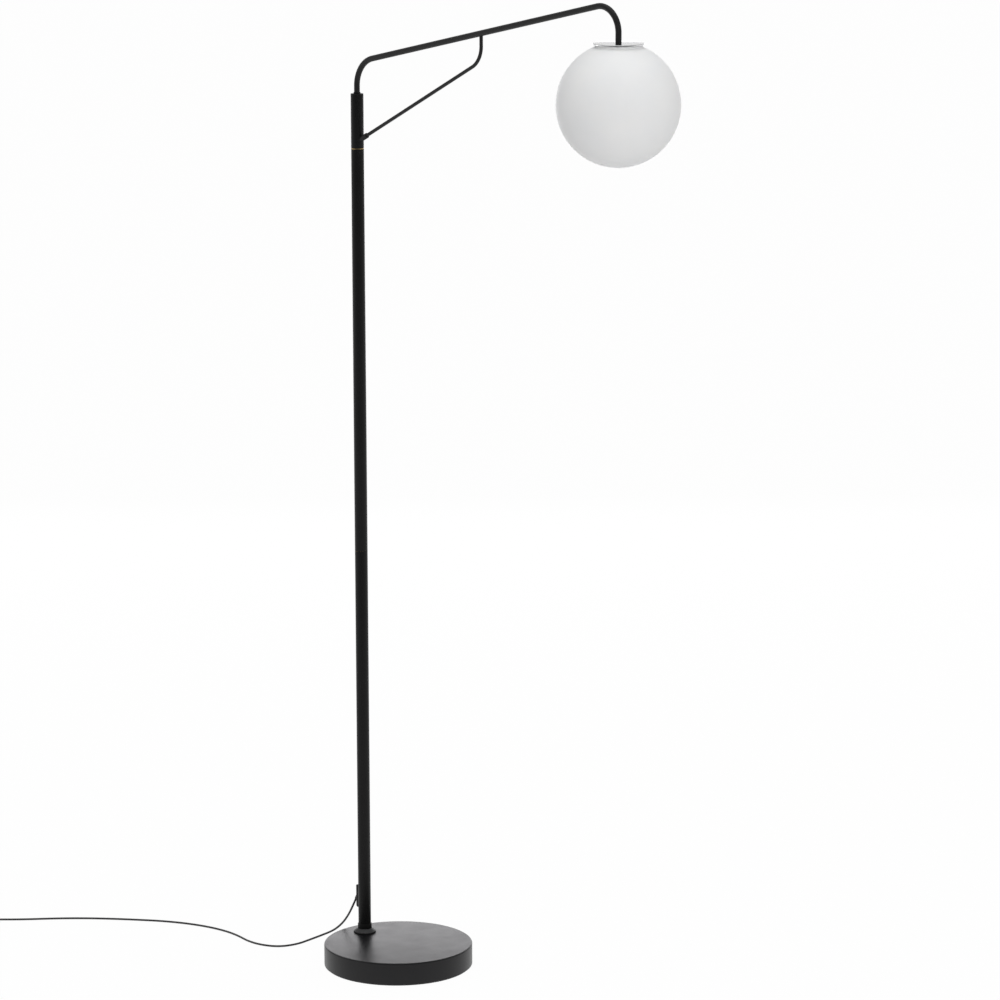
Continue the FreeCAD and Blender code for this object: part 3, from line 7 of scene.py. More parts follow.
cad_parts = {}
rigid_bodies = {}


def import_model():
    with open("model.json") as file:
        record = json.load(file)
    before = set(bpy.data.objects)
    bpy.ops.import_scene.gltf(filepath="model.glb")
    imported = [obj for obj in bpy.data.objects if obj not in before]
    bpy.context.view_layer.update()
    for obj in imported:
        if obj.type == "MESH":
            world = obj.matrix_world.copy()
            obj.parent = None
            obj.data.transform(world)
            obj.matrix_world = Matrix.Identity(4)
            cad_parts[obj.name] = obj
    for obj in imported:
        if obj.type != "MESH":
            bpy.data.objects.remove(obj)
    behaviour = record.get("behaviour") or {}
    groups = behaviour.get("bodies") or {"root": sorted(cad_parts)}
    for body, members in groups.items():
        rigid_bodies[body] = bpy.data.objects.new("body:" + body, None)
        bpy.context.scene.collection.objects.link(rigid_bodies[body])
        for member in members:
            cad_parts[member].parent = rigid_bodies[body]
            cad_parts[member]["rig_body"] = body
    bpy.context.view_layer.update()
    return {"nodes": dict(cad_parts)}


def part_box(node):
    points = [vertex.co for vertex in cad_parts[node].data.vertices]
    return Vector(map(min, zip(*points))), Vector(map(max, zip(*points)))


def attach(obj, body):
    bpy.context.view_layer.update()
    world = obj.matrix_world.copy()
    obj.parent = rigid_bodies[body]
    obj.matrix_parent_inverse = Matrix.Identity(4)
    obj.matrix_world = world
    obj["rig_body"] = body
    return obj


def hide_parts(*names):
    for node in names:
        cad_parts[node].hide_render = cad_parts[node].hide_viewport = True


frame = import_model()
nodes = frame["nodes"]


def box3(node):
    low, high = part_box(node)
    return Vector(low), Vector(high)


def middle(node):
    low, high = box3(node)
    return (low + high) / 2


# Lowest and highest level of a node.
def span(node):
    low, high = box3(node)
    return low.z, high.z


# A new object for this data, in the scene.
def added(name, data):
    item = bpy.data.objects.new(name, data)
    bpy.context.scene.collection.objects.link(item)
    return item


origin = Vector((0, 0, 0))
poleAxis = Vector((middle("pole_middle").x, 0, 0))
globeAxis = Vector((middle("globe_glass").x, 0, 0))
capTop = span("cap_disc")[1]
baseTop = span("base_cover")[1]


cameraPlace = {
    "azimuth": 48.29,    # degrees round from the front, towards the arm
    "distance": 7.4446,  # metres from the base, along the floor
    "height": 2.290,
    "pitch": 11.135,
    "yaw": -1.385,
    "roll": -0.184,
    "lens": 159.69,      # millimetres on a 36 mm sensor
}


def makeCamera():
    place = cameraPlace
    around = math.radians(place["azimuth"])
    heading = around + math.radians(place["yaw"])
    dip = math.radians(place["pitch"])
    roll = math.radians(place["roll"])
    spot = Vector((place["distance"] * math.sin(around), -place["distance"] * math.cos(around),
                   place["height"]))
    ahead = Vector((-math.sin(heading) * math.cos(dip), math.cos(heading) * math.cos(dip),
                    -math.sin(dip)))
    right = Vector((math.cos(heading), math.sin(heading), 0))
    up = right.cross(ahead)
    side = right * math.cos(roll) + up * math.sin(roll)
    top = -right * math.sin(roll) + up * math.cos(roll)
    data = bpy.data.cameras.new("photoCamera")
    data.lens = place["lens"]
    data.sensor_width = 36
    camera = added("photoCamera", data)
    turn = Matrix((side, top, -ahead)).transposed().to_4x4()
    camera.matrix_world = Matrix.Translation(spot) @ turn
    bpy.context.scene.camera = camera
    return ahead


viewAhead = makeCamera()
print("camera set")


def newMesh(name, points, faces, material, angle=32):
    mesh = bpy.data.meshes.new(name)
    mesh.from_pydata([tuple(point) for point in points], [], faces)
    mesh.update()
    smooth(mesh, angle)
    mesh.materials.append(material)
    return added(name, mesh)


def smooth(mesh, angle=32):
    mesh.polygons.foreach_set("use_smooth", [True] * len(mesh.polygons))
    mesh.set_sharp_from_angle(angle=math.radians(angle))


# Corners (radius, height, rounding) to points, with arcs at the rounded ones.
def rounded(corners, steps=6):
    count = len(corners)
    points = []
    for index, corner in enumerate(corners):
        here = Vector(corner[:2])
        size = corner[2] if len(corner) > 2 else 0
        if not size:
            points.append(here)
            continue
        before = (Vector(corners[index - 1][:2]) - here).normalized()
        after = (Vector(corners[(index + 1) % count][:2]) - here).normalized()
        half = before.angle(after) / 2
        inset = size / math.tan(half)
        centre = here + (before + after).normalized() * (size / math.sin(half))
        first = here + before * inset - centre
        swing = first.angle_signed(here + after * inset - centre)
        for step in range(steps + 1):
            turn = Matrix.Rotation(-swing * step / steps, 2)
            points.append(centre + turn @ first)
    return points


# Turn a closed outline (anticlockwise, radius first) about an upright axis.
def lathe(name, corners, centre, material, segments=128, steps=6, angle=32):
    outline = rounded(corners, steps)
    points = []
    rings = []
    for radius, height in outline:
        if radius < 1e-7:
            points.append(centre + Vector((0, 0, height)))
            rings.append([len(points) - 1] * segments)
            continue
        rings.append(list(range(len(points), len(points) + segments)))
        for index in range(segments):
            way = 2 * math.pi * index / segments
            points.append(centre + Vector((radius * math.cos(way), radius * math.sin(way), height)))
    faces = []
    for one, two in zip(rings, rings[1:] + rings[:1]):
        if one[0] == one[1] and two[0] == two[1]:
            continue
        for index in range(segments):
            after = (index + 1) % segments
            loop = [one[index], one[after], two[after], two[index]]
            faces.append([loop[k] for k in range(4) if loop[k] != loop[k - 1]])
    return newMesh(name, points, faces, material, angle)


# Bake a piece made along +Z so that it starts at a point and looks along a direction.
def aim(piece, start, way):
    turn = way.to_track_quat("Z", "Y").to_matrix().to_4x4()
    piece.data.transform(Matrix.Translation(start) @ turn)
    piece.data.update()


# Points along straight runs joined by arcs, in the XZ plane.
def bentLine(corners, radii, step=0.004):
    points = [Vector(corners[0])]
    for before, here, after, radius in zip(corners, corners[1:], corners[2:], radii):
        back = (Vector(before) - Vector(here)).normalized()
        on = (Vector(after) - Vector(here)).normalized()
        half = back.angle(on) / 2
        inset = radius / math.tan(half)
        centre = Vector(here) + (back + on).normalized() * (radius / math.sin(half))
        first = Vector(here) + back * inset - centre
        last = Vector(here) + on * inset - centre
        swing = first.angle(last)
        axis = first.cross(last).normalized()
        count = max(8, round(radius * swing / step))
        for index in range(count + 1):
            points.append(centre + Matrix.Rotation(swing * index / count, 3, axis) @ first)
    points.append(Vector(corners[-1]))
    return points


# Sweep a round tube, open or solid, along points that lie in the XZ plane.
def tube(name, line, radius, material, inner=0, segments=48, lip=0.0004):
    across = Vector((0, 1, 0))
    points = []
    rings = []

    def ring(at, way, size):
        side = across.cross(way).normalized()
        start = len(points)
        for index in range(segments):
            turn = 2 * math.pi * index / segments
            points.append(at + (side * math.cos(turn) + across * math.sin(turn)) * size)
        rings.append(list(range(start, start + segments)))

    ways = []
    for before, after in zip(line[:1] + line, line[1:] + line[-1:]):
        ways.append((after - before).normalized())
    for size, order in ((radius, 1), (inner, -1)):
        if not size:
            continue
        stops = list(zip(line, ways))[::order]
        edge = lip if order > 0 else -lip
        ring(stops[0][0], stops[0][1], size - edge)
        ring(stops[0][0] + stops[0][1] * lip * order, stops[0][1], size)
        for at, way in stops[1:-1]:
            ring(at, way, size)
        ring(stops[-1][0] - stops[-1][1] * lip * order, stops[-1][1], size)
        ring(stops[-1][0], stops[-1][1], size - edge)
    faces = []
    pairs = list(zip(rings, rings[1:]))
    if inner:
        pairs.append((rings[-1], rings[0]))
    else:
        faces.append(rings[0])
        faces.append(rings[-1][::-1])
    for one, two in pairs:
        for index in range(segments):
            after = (index + 1) % segments
            faces.append([one[index], two[index], two[after], one[after]])
    return newMesh(name, points, faces, material)


# From the lowest point of a ball round to an angle, as (radius, height).
def ballArc(radius, stop, steps, middleHeight=0):
    arc = [(0, middleHeight - radius)]
    for step in range(1, steps + 1):
        way = -math.pi / 2 + (stop + math.pi / 2) * step / steps
        arc.append((radius * math.cos(way), middleHeight + radius * math.sin(way)))
    return arc


# Skin rings of the same number of points, closed at both ends.
def loft(name, sections, material, angle=32):
    points = []
    rings = []
    for section in sections:
        start = len(points)
        points += section
        rings.append(list(range(start, len(points))))
    count = len(rings[0])
    faces = [rings[0][::-1], rings[-1]]
    for one, two in zip(rings, rings[1:]):
        for index in range(count):
            after = (index + 1) % count
            faces.append([one[index], one[after], two[after], two[index]])
    piece = newMesh(name, points, faces, material, angle)
    outward(piece)
    return piece


def outward(piece):
    work = bmesh.new()
    work.from_mesh(piece.data)
    bmesh.ops.remove_doubles(work, verts=work.verts, dist=1e-6)
    bmesh.ops.recalc_face_normals(work, faces=work.faces)
    work.to_mesh(piece.data)
    work.free()
    piece.data.update()


# Several meshes of one body and finish as one piece.
def join(name, pieces):
    work = bmesh.new()
    for piece in pieces:
        work.from_mesh(piece.data)
    mesh = bpy.data.meshes.new(name)
    work.to_mesh(mesh)
    work.free()
    mesh.materials.append(pieces[0].data.materials[0])
    smooth(mesh)
    for piece in pieces:
        bpy.data.objects.remove(piece)
    return added(name, mesh)


# Ride on the node's body and stand in for it, hiding the node.
def stand(piece, node, *more):
    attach(piece, nodes[node]["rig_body"])
    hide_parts(node, *more)


# A turned piece that stands in for its node.
def turned(name, node, *rest):
    stand(lathe(name, *rest), node)


# Copies of a small mesh in a ring round an upright axis, as one plain mesh.
def ringOf(name, shape, material, count, radius, centre):
    tree = bpy.data.node_groups.new(name, "GeometryNodeTree")
    face = tree.interface
    face.new_socket("Geometry", in_out="INPUT", socket_type="NodeSocketGeometry")
    sockets = {}
    for label, kind in (("Count", "NodeSocketInt"), ("Radius", "NodeSocketFloat"),
                        ("Centre", "NodeSocketVector")):
        sockets[label] = face.new_socket(label, in_out="INPUT", socket_type=kind)
    face.new_socket("Geometry", in_out="OUTPUT", socket_type="NodeSocketGeometry")
    make, link = tree.nodes.new, tree.links.new
    given = make("NodeGroupInput")
    result = make("NodeGroupOutput")
    circle = make("GeometryNodeMeshCircle")
    link(given.outputs["Count"], circle.inputs["Vertices"])
    link(given.outputs["Radius"], circle.inputs["Radius"])
    place = make("GeometryNodeInputPosition")
    turn = make("FunctionNodeAlignEulerToVector")  # each copy looks outwards
    turn.axis = "X"
    link(place.outputs[0], turn.inputs["Vector"])
    copies = make("GeometryNodeInstanceOnPoints")
    link(circle.outputs["Mesh"], copies.inputs["Points"])
    link(given.outputs["Geometry"], copies.inputs["Instance"])
    link(turn.outputs[0], copies.inputs["Rotation"])
    shift = make("GeometryNodeTransform")
    link(copies.outputs[0], shift.inputs["Geometry"])
    link(given.outputs["Centre"], shift.inputs["Translation"])
    real = make("GeometryNodeRealizeInstances")
    link(shift.outputs[0], real.inputs[0])
    paint = make("GeometryNodeSetMaterial")
    paint.inputs["Material"].default_value = material
    link(real.outputs[0], paint.inputs["Geometry"])
    link(paint.outputs[0], result.inputs[0])
    modifier = shape.modifiers.new("repeat", "NODES")
    modifier.node_group = tree
    for label, value in (("Count", count), ("Radius", radius), ("Centre", centre)):
        modifier[sockets[label].identifier] = value
    graph = bpy.context.evaluated_depsgraph_get()
    mesh = bpy.data.meshes.new_from_object(shape.evaluated_get(graph))
    bpy.data.objects.remove(shape)
    smooth(mesh)
    return added(name, mesh)


# A shader socket that takes Python's operators.
class Signal:

    def __init__(self, finish, socket):
        self.finish = finish
        self.socket = socket

    def maths(self, operation, first, second):
        node = self.finish.node("ShaderNodeMath", {"operation": operation}, {0: first, 1: second})
        return Signal(self.finish, node.outputs[0])

    def __add__(self, other):
        return self.maths("ADD", self, other)

    def __radd__(self, other):
        return self.maths("ADD", other, self)

    def __sub__(self, other):
        return self.maths("SUBTRACT", self, other)

    def __rsub__(self, other):
        return self.maths("SUBTRACT", other, self)

    def __mul__(self, other):
        return self.maths("MULTIPLY", self, other)

    def __rmul__(self, other):
        return self.maths("MULTIPLY", other, self)


# A material with one Principled shader, built up by short calls.
class Finish:

    def __init__(self, name):
        self.material = bpy.data.materials.new(name)
        self.material.use_nodes = True
        self.tree = self.material.node_tree
        self.shader = self.tree.nodes["Principled BSDF"]
        self.place = self.node("ShaderNodeTexCoord").outputs["Object"]

    def node(self, kind, settings=None, values=None):
        node = self.tree.nodes.new(kind)
        for label, value in (settings or {}).items():
            setattr(node, label, value)
        for label, value in (values or {}).items():
            self.put(node.inputs[label], value)
        return node

    def put(self, socket, value):
        if isinstance(value, Signal):
            value = value.socket
        if isinstance(value, bpy.types.NodeSocket):
            self.tree.links.new(value, socket)
        else:
            socket.default_value = value

    def mapped(self, scale):
        node = self.node("ShaderNodeMapping", None, {"Vector": self.place, "Scale": scale})
        return node.outputs[0]

    def noise(self, scale, detail=3, rough=0.5, where=None, distortion=0):
        node = self.node("ShaderNodeTexNoise", None,
                         {"Vector": where or self.place, "Scale": scale, "Detail": detail,
                          "Roughness": rough, "Distortion": distortion})
        return Signal(self, node.outputs["Fac"])

    def cells(self, scale):
        node = self.node("ShaderNodeTexVoronoi", None, {"Vector": self.place, "Scale": scale})
        return Signal(self, node.outputs["Distance"])

    # The middle of a noise's range, where most of it lies, drawn out from low to high.
    def spread(self, signal, low, high):
        node = self.node("ShaderNodeMapRange", None, {
            "Value": signal, "From Min": 0.3, "From Max": 0.7, "To Min": low, "To Max": high})
        return Signal(self, node.outputs["Result"])

    # Two colours mixed by a signal; 6 and 7 are the Mix node's colour sockets.
    def tones(self, signal, dark, light):
        node = self.node("ShaderNodeMix", {"data_type": "RGBA"}, {
            "Factor": self.spread(signal, 0, 1), 6: (*dark, 1), 7: (*light, 1)})
        return node.outputs[2]

    def done(self, colour, rough, height, depth, **others):
        bump = self.node("ShaderNodeBump", None, {"Height": height, "Distance": depth})
        values = {"Base_Color": colour, "Roughness": rough, "Normal": bump.outputs[0], **others}
        for label, value in values.items():
            self.put(self.shader.inputs[label.replace("_", " ")], value)
        return self.material


# Powder coat: fine orange peel, soft patches and faint wipe marks.
def coatFinish(name, dark, light, rough, shine, grain=1500):
    finish = Finish(name)
    patches = finish.noise(9, 4, 0.55)
    specks = finish.noise(grain * 1.7, 2)
    wipe = finish.noise(30, 5, 0.6, finish.mapped((1, 1, 0.25)))
    peel = finish.noise(grain, 2, 0.45)
    slow = finish.noise(grain * 0.12, 2)
    return finish.done(finish.tones(patches * 0.6 + specks * 0.4, dark, light),
                       finish.spread(wipe, rough - 0.02, rough + 0.03),
                       peel * 0.7 + slow * 0.5, 0.00002, Specular_IOR_Level=shine)


# Bare metal with machining lines or fine brushing and dull spots.
def metalFinish(name, dark, light, rough, lathed=False):
    finish = Finish(name)
    tone = finish.noise(60, 4, 0.6)
    stretch = (30, 30, 2600) if lathed else (900, 60, 60)
    lines = finish.noise(1.0, 3, 0.6, finish.mapped(stretch))
    return finish.done(finish.tones(tone, dark, light),
                       finish.spread(lines * 0.5 + tone * 0.5, rough - 0.06, rough + 0.1),
                       lines, 0.000004, Metallic=1.0)


# Moulded plastic or rubber with a spark-eroded grain.
def mouldedFinish(name, dark, light, rough, grain=1900, depth=0.00003, shine=0.5):
    finish = Finish(name)
    tone = finish.noise(25, 3)
    pits = finish.cells(grain)
    fine = finish.noise(grain * 1.4, 2)
    return finish.done(finish.tones(tone, dark, light),
                       finish.spread(fine * 0.5 + tone * 0.5, rough - 0.06, rough + 0.07),
                       pits * 0.6 + fine * 0.4, depth, Specular_IOR_Level=shine)


# Etched opal glass: a white body that lets a little light in, and a silky surface.
def opalGlass():
    finish = Finish("opalGlass")
    cloud = finish.noise(14, 4, 0.5)
    etch = finish.noise(2600, 2)
    drift = finish.noise(5, 2)
    return finish.done(finish.tones(cloud, (0.9, 0.905, 0.91), (0.93, 0.93, 0.925)),
                       finish.spread(etch * 0.6 + drift * 0.4, 0.42, 0.56),
                       etch * 0.6 + cloud * 0.4, 0.00001, IOR=1.5, Subsurface_Weight=0.2,
                       Subsurface_Scale=0.003, Subsurface_Radius=(1.0, 0.95, 0.9))


# Polished plating with faint smears and hairlines.
def polishedChrome():
    finish = Finish("polishedChrome")
    smear = finish.noise(40, 5, 0.6)
    hair = finish.noise(1.0, 2, 0.5, finish.mapped((500, 500, 3000)))
    return finish.done(finish.tones(smear, (0.74, 0.745, 0.755), (0.82, 0.82, 0.825)),
                       finish.spread(smear * 0.7 + hair * 0.3, 0.06, 0.15),
                       hair, 0.0000015, Metallic=1.0)


# Rough sand-cast weight.
def castIron():
    finish = Finish("castIron")
    sand = finish.noise(700, 4, 0.7)
    scale = finish.noise(45, 5, 0.6)
    return finish.done(finish.tones(scale, (0.07, 0.068, 0.068), (0.14, 0.13, 0.125)),
                       finish.spread(scale, 0.55, 0.8), sand, 0.00025, Metallic=0.55)


# Glaze, glass or smooth enamel with slight clouds and pinholes.
def glazedFinish(name, dark, light, rough):
    finish = Finish(name)
    cloud = finish.noise(70, 3)
    pin = finish.noise(900, 2)
    return finish.done(finish.tones(cloud, dark, light),
                       finish.spread(pin * 0.5 + cloud * 0.5, rough, rough + 0.1),
                       cloud * 0.5 + pin * 0.5, 0.00002)


def feltGrey():
    finish = Finish("feltGrey")
    fibre = finish.noise(1200, 6, 0.8, None, 1.2)
    tone = finish.noise(150, 3)
    return finish.done(finish.tones(fibre * 0.6 + tone * 0.4, (0.1, 0.1, 0.1), (0.22, 0.22, 0.215)),
                       finish.spread(fibre, 0.85, 1.0), fibre, 0.0004, Sheen_Weight=0.3)


# Smooth soft sheath with dull rubbed spots.
def leadSheath():
    finish = Finish("leadSheath")
    rub = finish.noise(55, 4, 0.6)
    fine = finish.noise(1400, 3)
    return finish.done(finish.tones(rub, (0.018, 0.018, 0.019), (0.034, 0.033, 0.033)),
                       finish.spread(rub * 0.6 + fine * 0.4, 0.4, 0.56), fine, 0.00001)


satinBlack = coatFinish("satinBlack", (0.0064, 0.0063, 0.0064), (0.0096, 0.0094, 0.0094),
                        0.34, 0.14)
armBlack = coatFinish("armBlack", (0.0135, 0.0133, 0.0137), (0.019, 0.0187, 0.0191), 0.38, 0.17)
baseBlack = coatFinish("baseBlack", (0.003, 0.0029, 0.0034), (0.005, 0.0048, 0.006),
                       0.36, 0.32, 1300)
footGrey = coatFinish("footGrey", (0.026, 0.026, 0.027), (0.038, 0.038, 0.04), 0.42, 0.3)
chrome = polishedChrome()
opal = opalGlass()
iron = castIron()
blackRubber = mouldedFinish("blackRubber", (0.004, 0.004, 0.004), (0.009, 0.009, 0.009), 0.68,
                            shine=0.2)
blackMoulding = mouldedFinish("blackMoulding", (0.013, 0.013, 0.0135), (0.022, 0.022, 0.023), 0.5)
holderMoulding = mouldedFinish("holderMoulding", (0.02, 0.02, 0.02), (0.032, 0.031, 0.03), 0.4)
zincSteel = metalFinish("zincSteel", (0.5, 0.5, 0.5), (0.66, 0.66, 0.64), 0.32, True)
turnedBrass = metalFinish("turnedBrass", (0.6, 0.4, 0.14), (0.78, 0.56, 0.25), 0.24, True)
fitterMetal = metalFinish("fitterMetal", (0.62, 0.62, 0.63), (0.76, 0.76, 0.77), 0.28, True)
nickelShell = metalFinish("nickelShell", (0.55, 0.53, 0.5), (0.7, 0.68, 0.64), 0.2)
ceramicWhite = glazedFinish("ceramicWhite", (0.72, 0.71, 0.67), (0.8, 0.79, 0.76), 0.25)
blackGlaze = glazedFinish("blackGlaze", (0.012, 0.012, 0.014), (0.025, 0.025, 0.027), 0.12)
bulbOpal = glazedFinish("bulbOpal", (0.78, 0.77, 0.74), (0.84, 0.83, 0.8), 0.45)
bulbWhite = mouldedFinish("bulbWhite", (0.7, 0.7, 0.68), (0.78, 0.78, 0.76), 0.35, 1500, 0.00001)
siliconeClear = mouldedFinish("siliconeClear", (0.6, 0.6, 0.59), (0.7, 0.7, 0.69), 0.35, 500)
felt = feltGrey()
sheath = leadSheath()
print("finishes mixed")


leadShape = {
    "radius": 0.0018,
    "outletTilt": 33,        # degrees from straight down
    "reliefReach": 0.012,
    "mouthHeight": 0.106,
    "plateOut": 0.016,
    "bendInside": 0.024,     # where it turns up inside the pole
    "switchHeading": 243.3,  # degrees
    "switchHalf": 0.053,     # to the ends of its strain reliefs
    "switchGrip": 0.03,      # where it lies straight in the switch
    "switchLevel": 0.008,
    "linkBend": (0.024, 0.003),  # on from the switch and down, to the link's corner
    "coilIn": (0.0176, 0.0036),  # straight into the coil and out of it
    "coilOut": (0.0036, 0.0156),
    "plugIn": (-0.012, 0, 0.006),
    "coilCentre": (-0.814, -0.464),
    "coilRadius": 0.026,
    "turns": 7.25,
    "layers": 4,
    "pitch": 0.0044,
    "layerPitch": 0.0043,
    "coilFloor": 0.003,
}
floorRoute = [  # millimetres
    (-117.8, 0, 83.2), (-130.6, 0, 62.2), (-146.4, -1, 42.8), (-165.4, -5, 26.6), (-180, -18, 18),
    (-190, -38, 11.5), (-200, -62, 5), (-219, -89, 2), (-251, -104, 2), (-284, -105, 2),
    (-318, -97, 2), (-354, -94, 2), (-396, -99, 2), (-440, -113, 2), (-484, -136, 2),
    (-523, -165, 2), (-562, -196, 2), (-600, -231, 2), (-634, -269, 2), (-664, -309, 2),
    (-688, -350, 5),
]


# The wound part: in and out in layers, rising softly from one to the next.
def coilPoint(angle):
    shape = leadShape
    perLayer = 2 * math.pi * shape["turns"] / shape["layers"]
    steps = angle / perLayer
    layer = min(int(steps), shape["layers"] - 1)
    inwards = steps - layer if layer % 2 == 0 else 1 - steps + layer
    depth = inwards * shape["pitch"] * shape["turns"] / shape["layers"]
    height = shape["coilFloor"] + shape["layerPitch"] * layer
    for border in range(1, shape["layers"]):
        away = (angle - border * perLayer) / (math.pi / 2)
        if abs(away) < 1:
            rise = 0.5 + 0.75 * away - 0.25 * away ** 3
            height = shape["coilFloor"] + shape["layerPitch"] * (border - 1 + rise)
            softened = shape["pitch"] / 8 * (1 - abs(away)) ** 2
            depth += -softened if border % 2 else softened
    radius = shape["coilRadius"] - depth
    way = -math.pi / 2 - angle
    x, y = shape["coilCentre"]
    return Vector((x + radius * math.cos(way), y + radius * math.sin(way), height))


def outletWay():
    tilt = math.radians(leadShape["outletTilt"])
    return Vector((-math.sin(tilt), 0, -math.cos(tilt)))


def outletMouth():
    return Vector((poleAxis.x - leadShape["plateOut"], 0, leadShape["mouthHeight"]))


def leadHeading():
    heading = math.radians(leadShape["switchHeading"])
    return Vector((math.cos(heading), math.sin(heading), 0))


def plugTail():
    return Vector((middle("plug_body").x, box3("plug_body")[0].y, middle("plug_body").z))


# Outlet, floor, switch, coil and plug, in that order.
def leadPoints():
    shape = leadShape
    points = [outletMouth() + outletWay() * shape["reliefReach"]]
    points += [Vector(spot) / 1000 for spot in floorRoute]
    along = leadHeading()
    switch = middle("switch_base")
    switch.z = shape["switchLevel"]
    far = switch + along * shape["switchHalf"]
    points += [switch - along * shape["switchHalf"], switch - along * shape["switchGrip"],
               switch + along * shape["switchGrip"], far]
    on, down = shape["linkBend"]
    points.append(far + along * on - Vector((0, 0, down)))
    points += [coilPoint(0) + Vector((run, 0, 0)) for run in shape["coilIn"]]
    stop = 2 * math.pi * shape["turns"]
    count = round(stop / math.radians(15))
    points += [coilPoint(stop * index / count) for index in range(count + 1)]
    for end, runs in ((points[-1], shape["coilOut"]), (plugTail(), shape["plugIn"])):
        points += [end + Vector((0, run, 0)) for run in runs]
    return points


def makeLead():
    points = leadPoints()
    data = bpy.data.curves.new("lead", "CURVE")
    data.dimensions = "3D"
    line = data.splines.new("NURBS")
    line.points.add(len(points) - 1)
    for spot, point in zip(line.points, points):
        spot.co = (*point, 1)
    line.order_u = 3
    line.use_endpoint_u = True
    line.resolution_u = 6
    data.bevel_depth = leadShape["radius"]
    data.bevel_resolution = 6
    data.use_fill_caps = True
    data.materials.append(sheath)
    lead = added("lead", data)
    stand(lead, "cord_lead", "cord_link", "cord_coil", "cord_end")
    return lead, points


lead, leadLine = makeLead()
print("lead laid", len(leadLine))


coverShape = {"radius": 0.129, "low": 0.002, "round": 0.0025, "hem": 0.0012, "wall": 0.0015,
              "padInset": 0.003}


# Pressed cover, open below, and the pad that it stands on.
def makeBase():
    edge, low, bend, wall = (coverShape[key] for key in ("radius", "low", "round", "wall"))
    turned("baseCoverSkin", "base_cover", [
        (0, baseTop), (0, baseTop - wall), (edge - wall, baseTop - wall, bend - wall),
        (edge - wall, low), (edge, low, coverShape["hem"]), (edge, baseTop, bend)],
        origin, baseBlack, 256, 10)
    rim = edge - coverShape["padInset"]
    turned("basePadSkin", "base_pad", [
        (0, 0), (rim, 0, 0.0005), (rim, low, 0.0003), (0, low)], origin, blackRubber, 192)


footShape = {"gasket": 0.0198, "gasketBore": 0.0112, "gasketTop": 0.0014, "flange": 0.0194,
             "flangeBore": 0.01115, "flangeRim": 0.001, "flangeNeck": 0.0129, "flangeTop": 0.0074,
             "ring": 0.0122, "ringBore": 0.0111, "ringTop": 0.0159}


def makeFoot():
    shape = footShape
    place = poleAxis + Vector((0, 0, baseTop))
    low, high, top = shape["gasketTop"], shape["flangeTop"], shape["ringTop"]
    turned("footGasketSkin", "foot_gasket", [
        (shape["gasketBore"], 0), (shape["gasket"], 0), (shape["gasket"], low, 0.0006),
        (shape["gasketBore"], low)], place, blackRubber)
    turned("footFlangeSkin", "foot_flange", [
        (shape["flangeBore"], low), (shape["flange"], low, 0.0002),
        (shape["flange"], low + shape["flangeRim"], 0.0008), (shape["flangeNeck"], high, 0.0003),
        (shape["flangeBore"], high)], place, footGrey)
    turned("footRingSkin", "foot_ring", [
        (shape["ringBore"], high), (shape["ring"], high, 0.0002), (shape["ring"], top, 0.0005),
        (shape["ringBore"], top)], place, satinBlack)


poleShape = {"radius": 0.011, "bore": 0.0095, "edge": 0.00025, "hood": 0.00012,
             "hoodDrop": 0.00025, "spigot": 0.00945}
couplingShape = {"bore": 0.0045, "shoulderInset": 0.00015, "stud": 0.007, "threadPitch": 0.0015,
                 "threadDepth": 0.0005, "runOut": 0.001}
endPlugShape = {"bore": 0.0051, "edge": 0.0001, "round": 0.0011}
collarShape = {"bore": 0.00505, "radius": 0.006, "edge": 0.0001, "round": 0.0005}


# A tube of the pole; its thin hood, where it has one, hides the brass below it.
def poleTube(name, node, hooded=False):
    outer, bore, edge, hood = (poleShape[key] for key in ("radius", "bore", "edge", "hood"))
    low, high = span(node)
    foot = [(outer, low, edge)]
    if hooded:
        drop = low - poleShape["hoodDrop"]
        foot = [(outer - hood, low), (outer - hood, drop), (outer, drop, 0.0001)]
    turned(name, node, [(bore, low)] + foot + [(outer, high, edge), (bore, high)],
           poleAxis, satinBlack, 96)


# A hollow brass coupling: spigot, a shoulder in the seam, and a threaded stud.
def coupling(name, node, below, above):
    shape = couplingShape
    bore, stud, spigot = shape["bore"], shape["stud"], poleShape["spigot"]
    shoulder = poleShape["radius"] - shape["shoulderInset"]
    low, high = span(node)
    seam, top = span(below)[1], span(above)[0]
    corners = [(bore, low), (spigot, low, 0.0005), (spigot, seam), (shoulder, seam),
               (shoulder, top), (stud, top)]
    turn = top + shape["runOut"]
    while turn + shape["threadPitch"] < high - shape["runOut"]:
        corners += [(stud, turn), (stud - shape["threadDepth"], turn + shape["threadPitch"] / 2)]
        turn += shape["threadPitch"]
    corners += [(stud, high, 0.0008), (bore, high)]
    turned(name, node, corners, poleAxis, turnedBrass, 64)


def makePole():
    poleTube("poleLowerSkin", "pole_lower")
    poleTube("poleMiddleSkin", "pole_middle", True)
    poleTube("poleTopSkin", "pole_top")
    coupling("couplingLowerSkin", "coupling_lower", "pole_lower", "pole_middle")
    coupling("couplingUpperSkin", "coupling_upper", "pole_middle", "pole_top")
    outer, spigot = poleShape["radius"], poleShape["spigot"]
    low, high = span("pole_end_plug")
    end = span("pole_top")[1]
    shape = endPlugShape
    turned("poleEndPlugSkin", "pole_end_plug", [
        (shape["bore"], low), (spigot, low), (spigot, end), (outer, end, shape["edge"]),
        (outer, high, shape["round"]), (shape["bore"], high)], poleAxis, satinBlack, 96)
    low, high = span("arm_collar")
    shape = collarShape
    turned("armCollarSkin", "arm_collar", [
        (shape["bore"], low), (shape["radius"], low, shape["edge"]),
        (shape["radius"], high, shape["round"]), (shape["bore"], high)],
        poleAxis, satinBlack, 96)


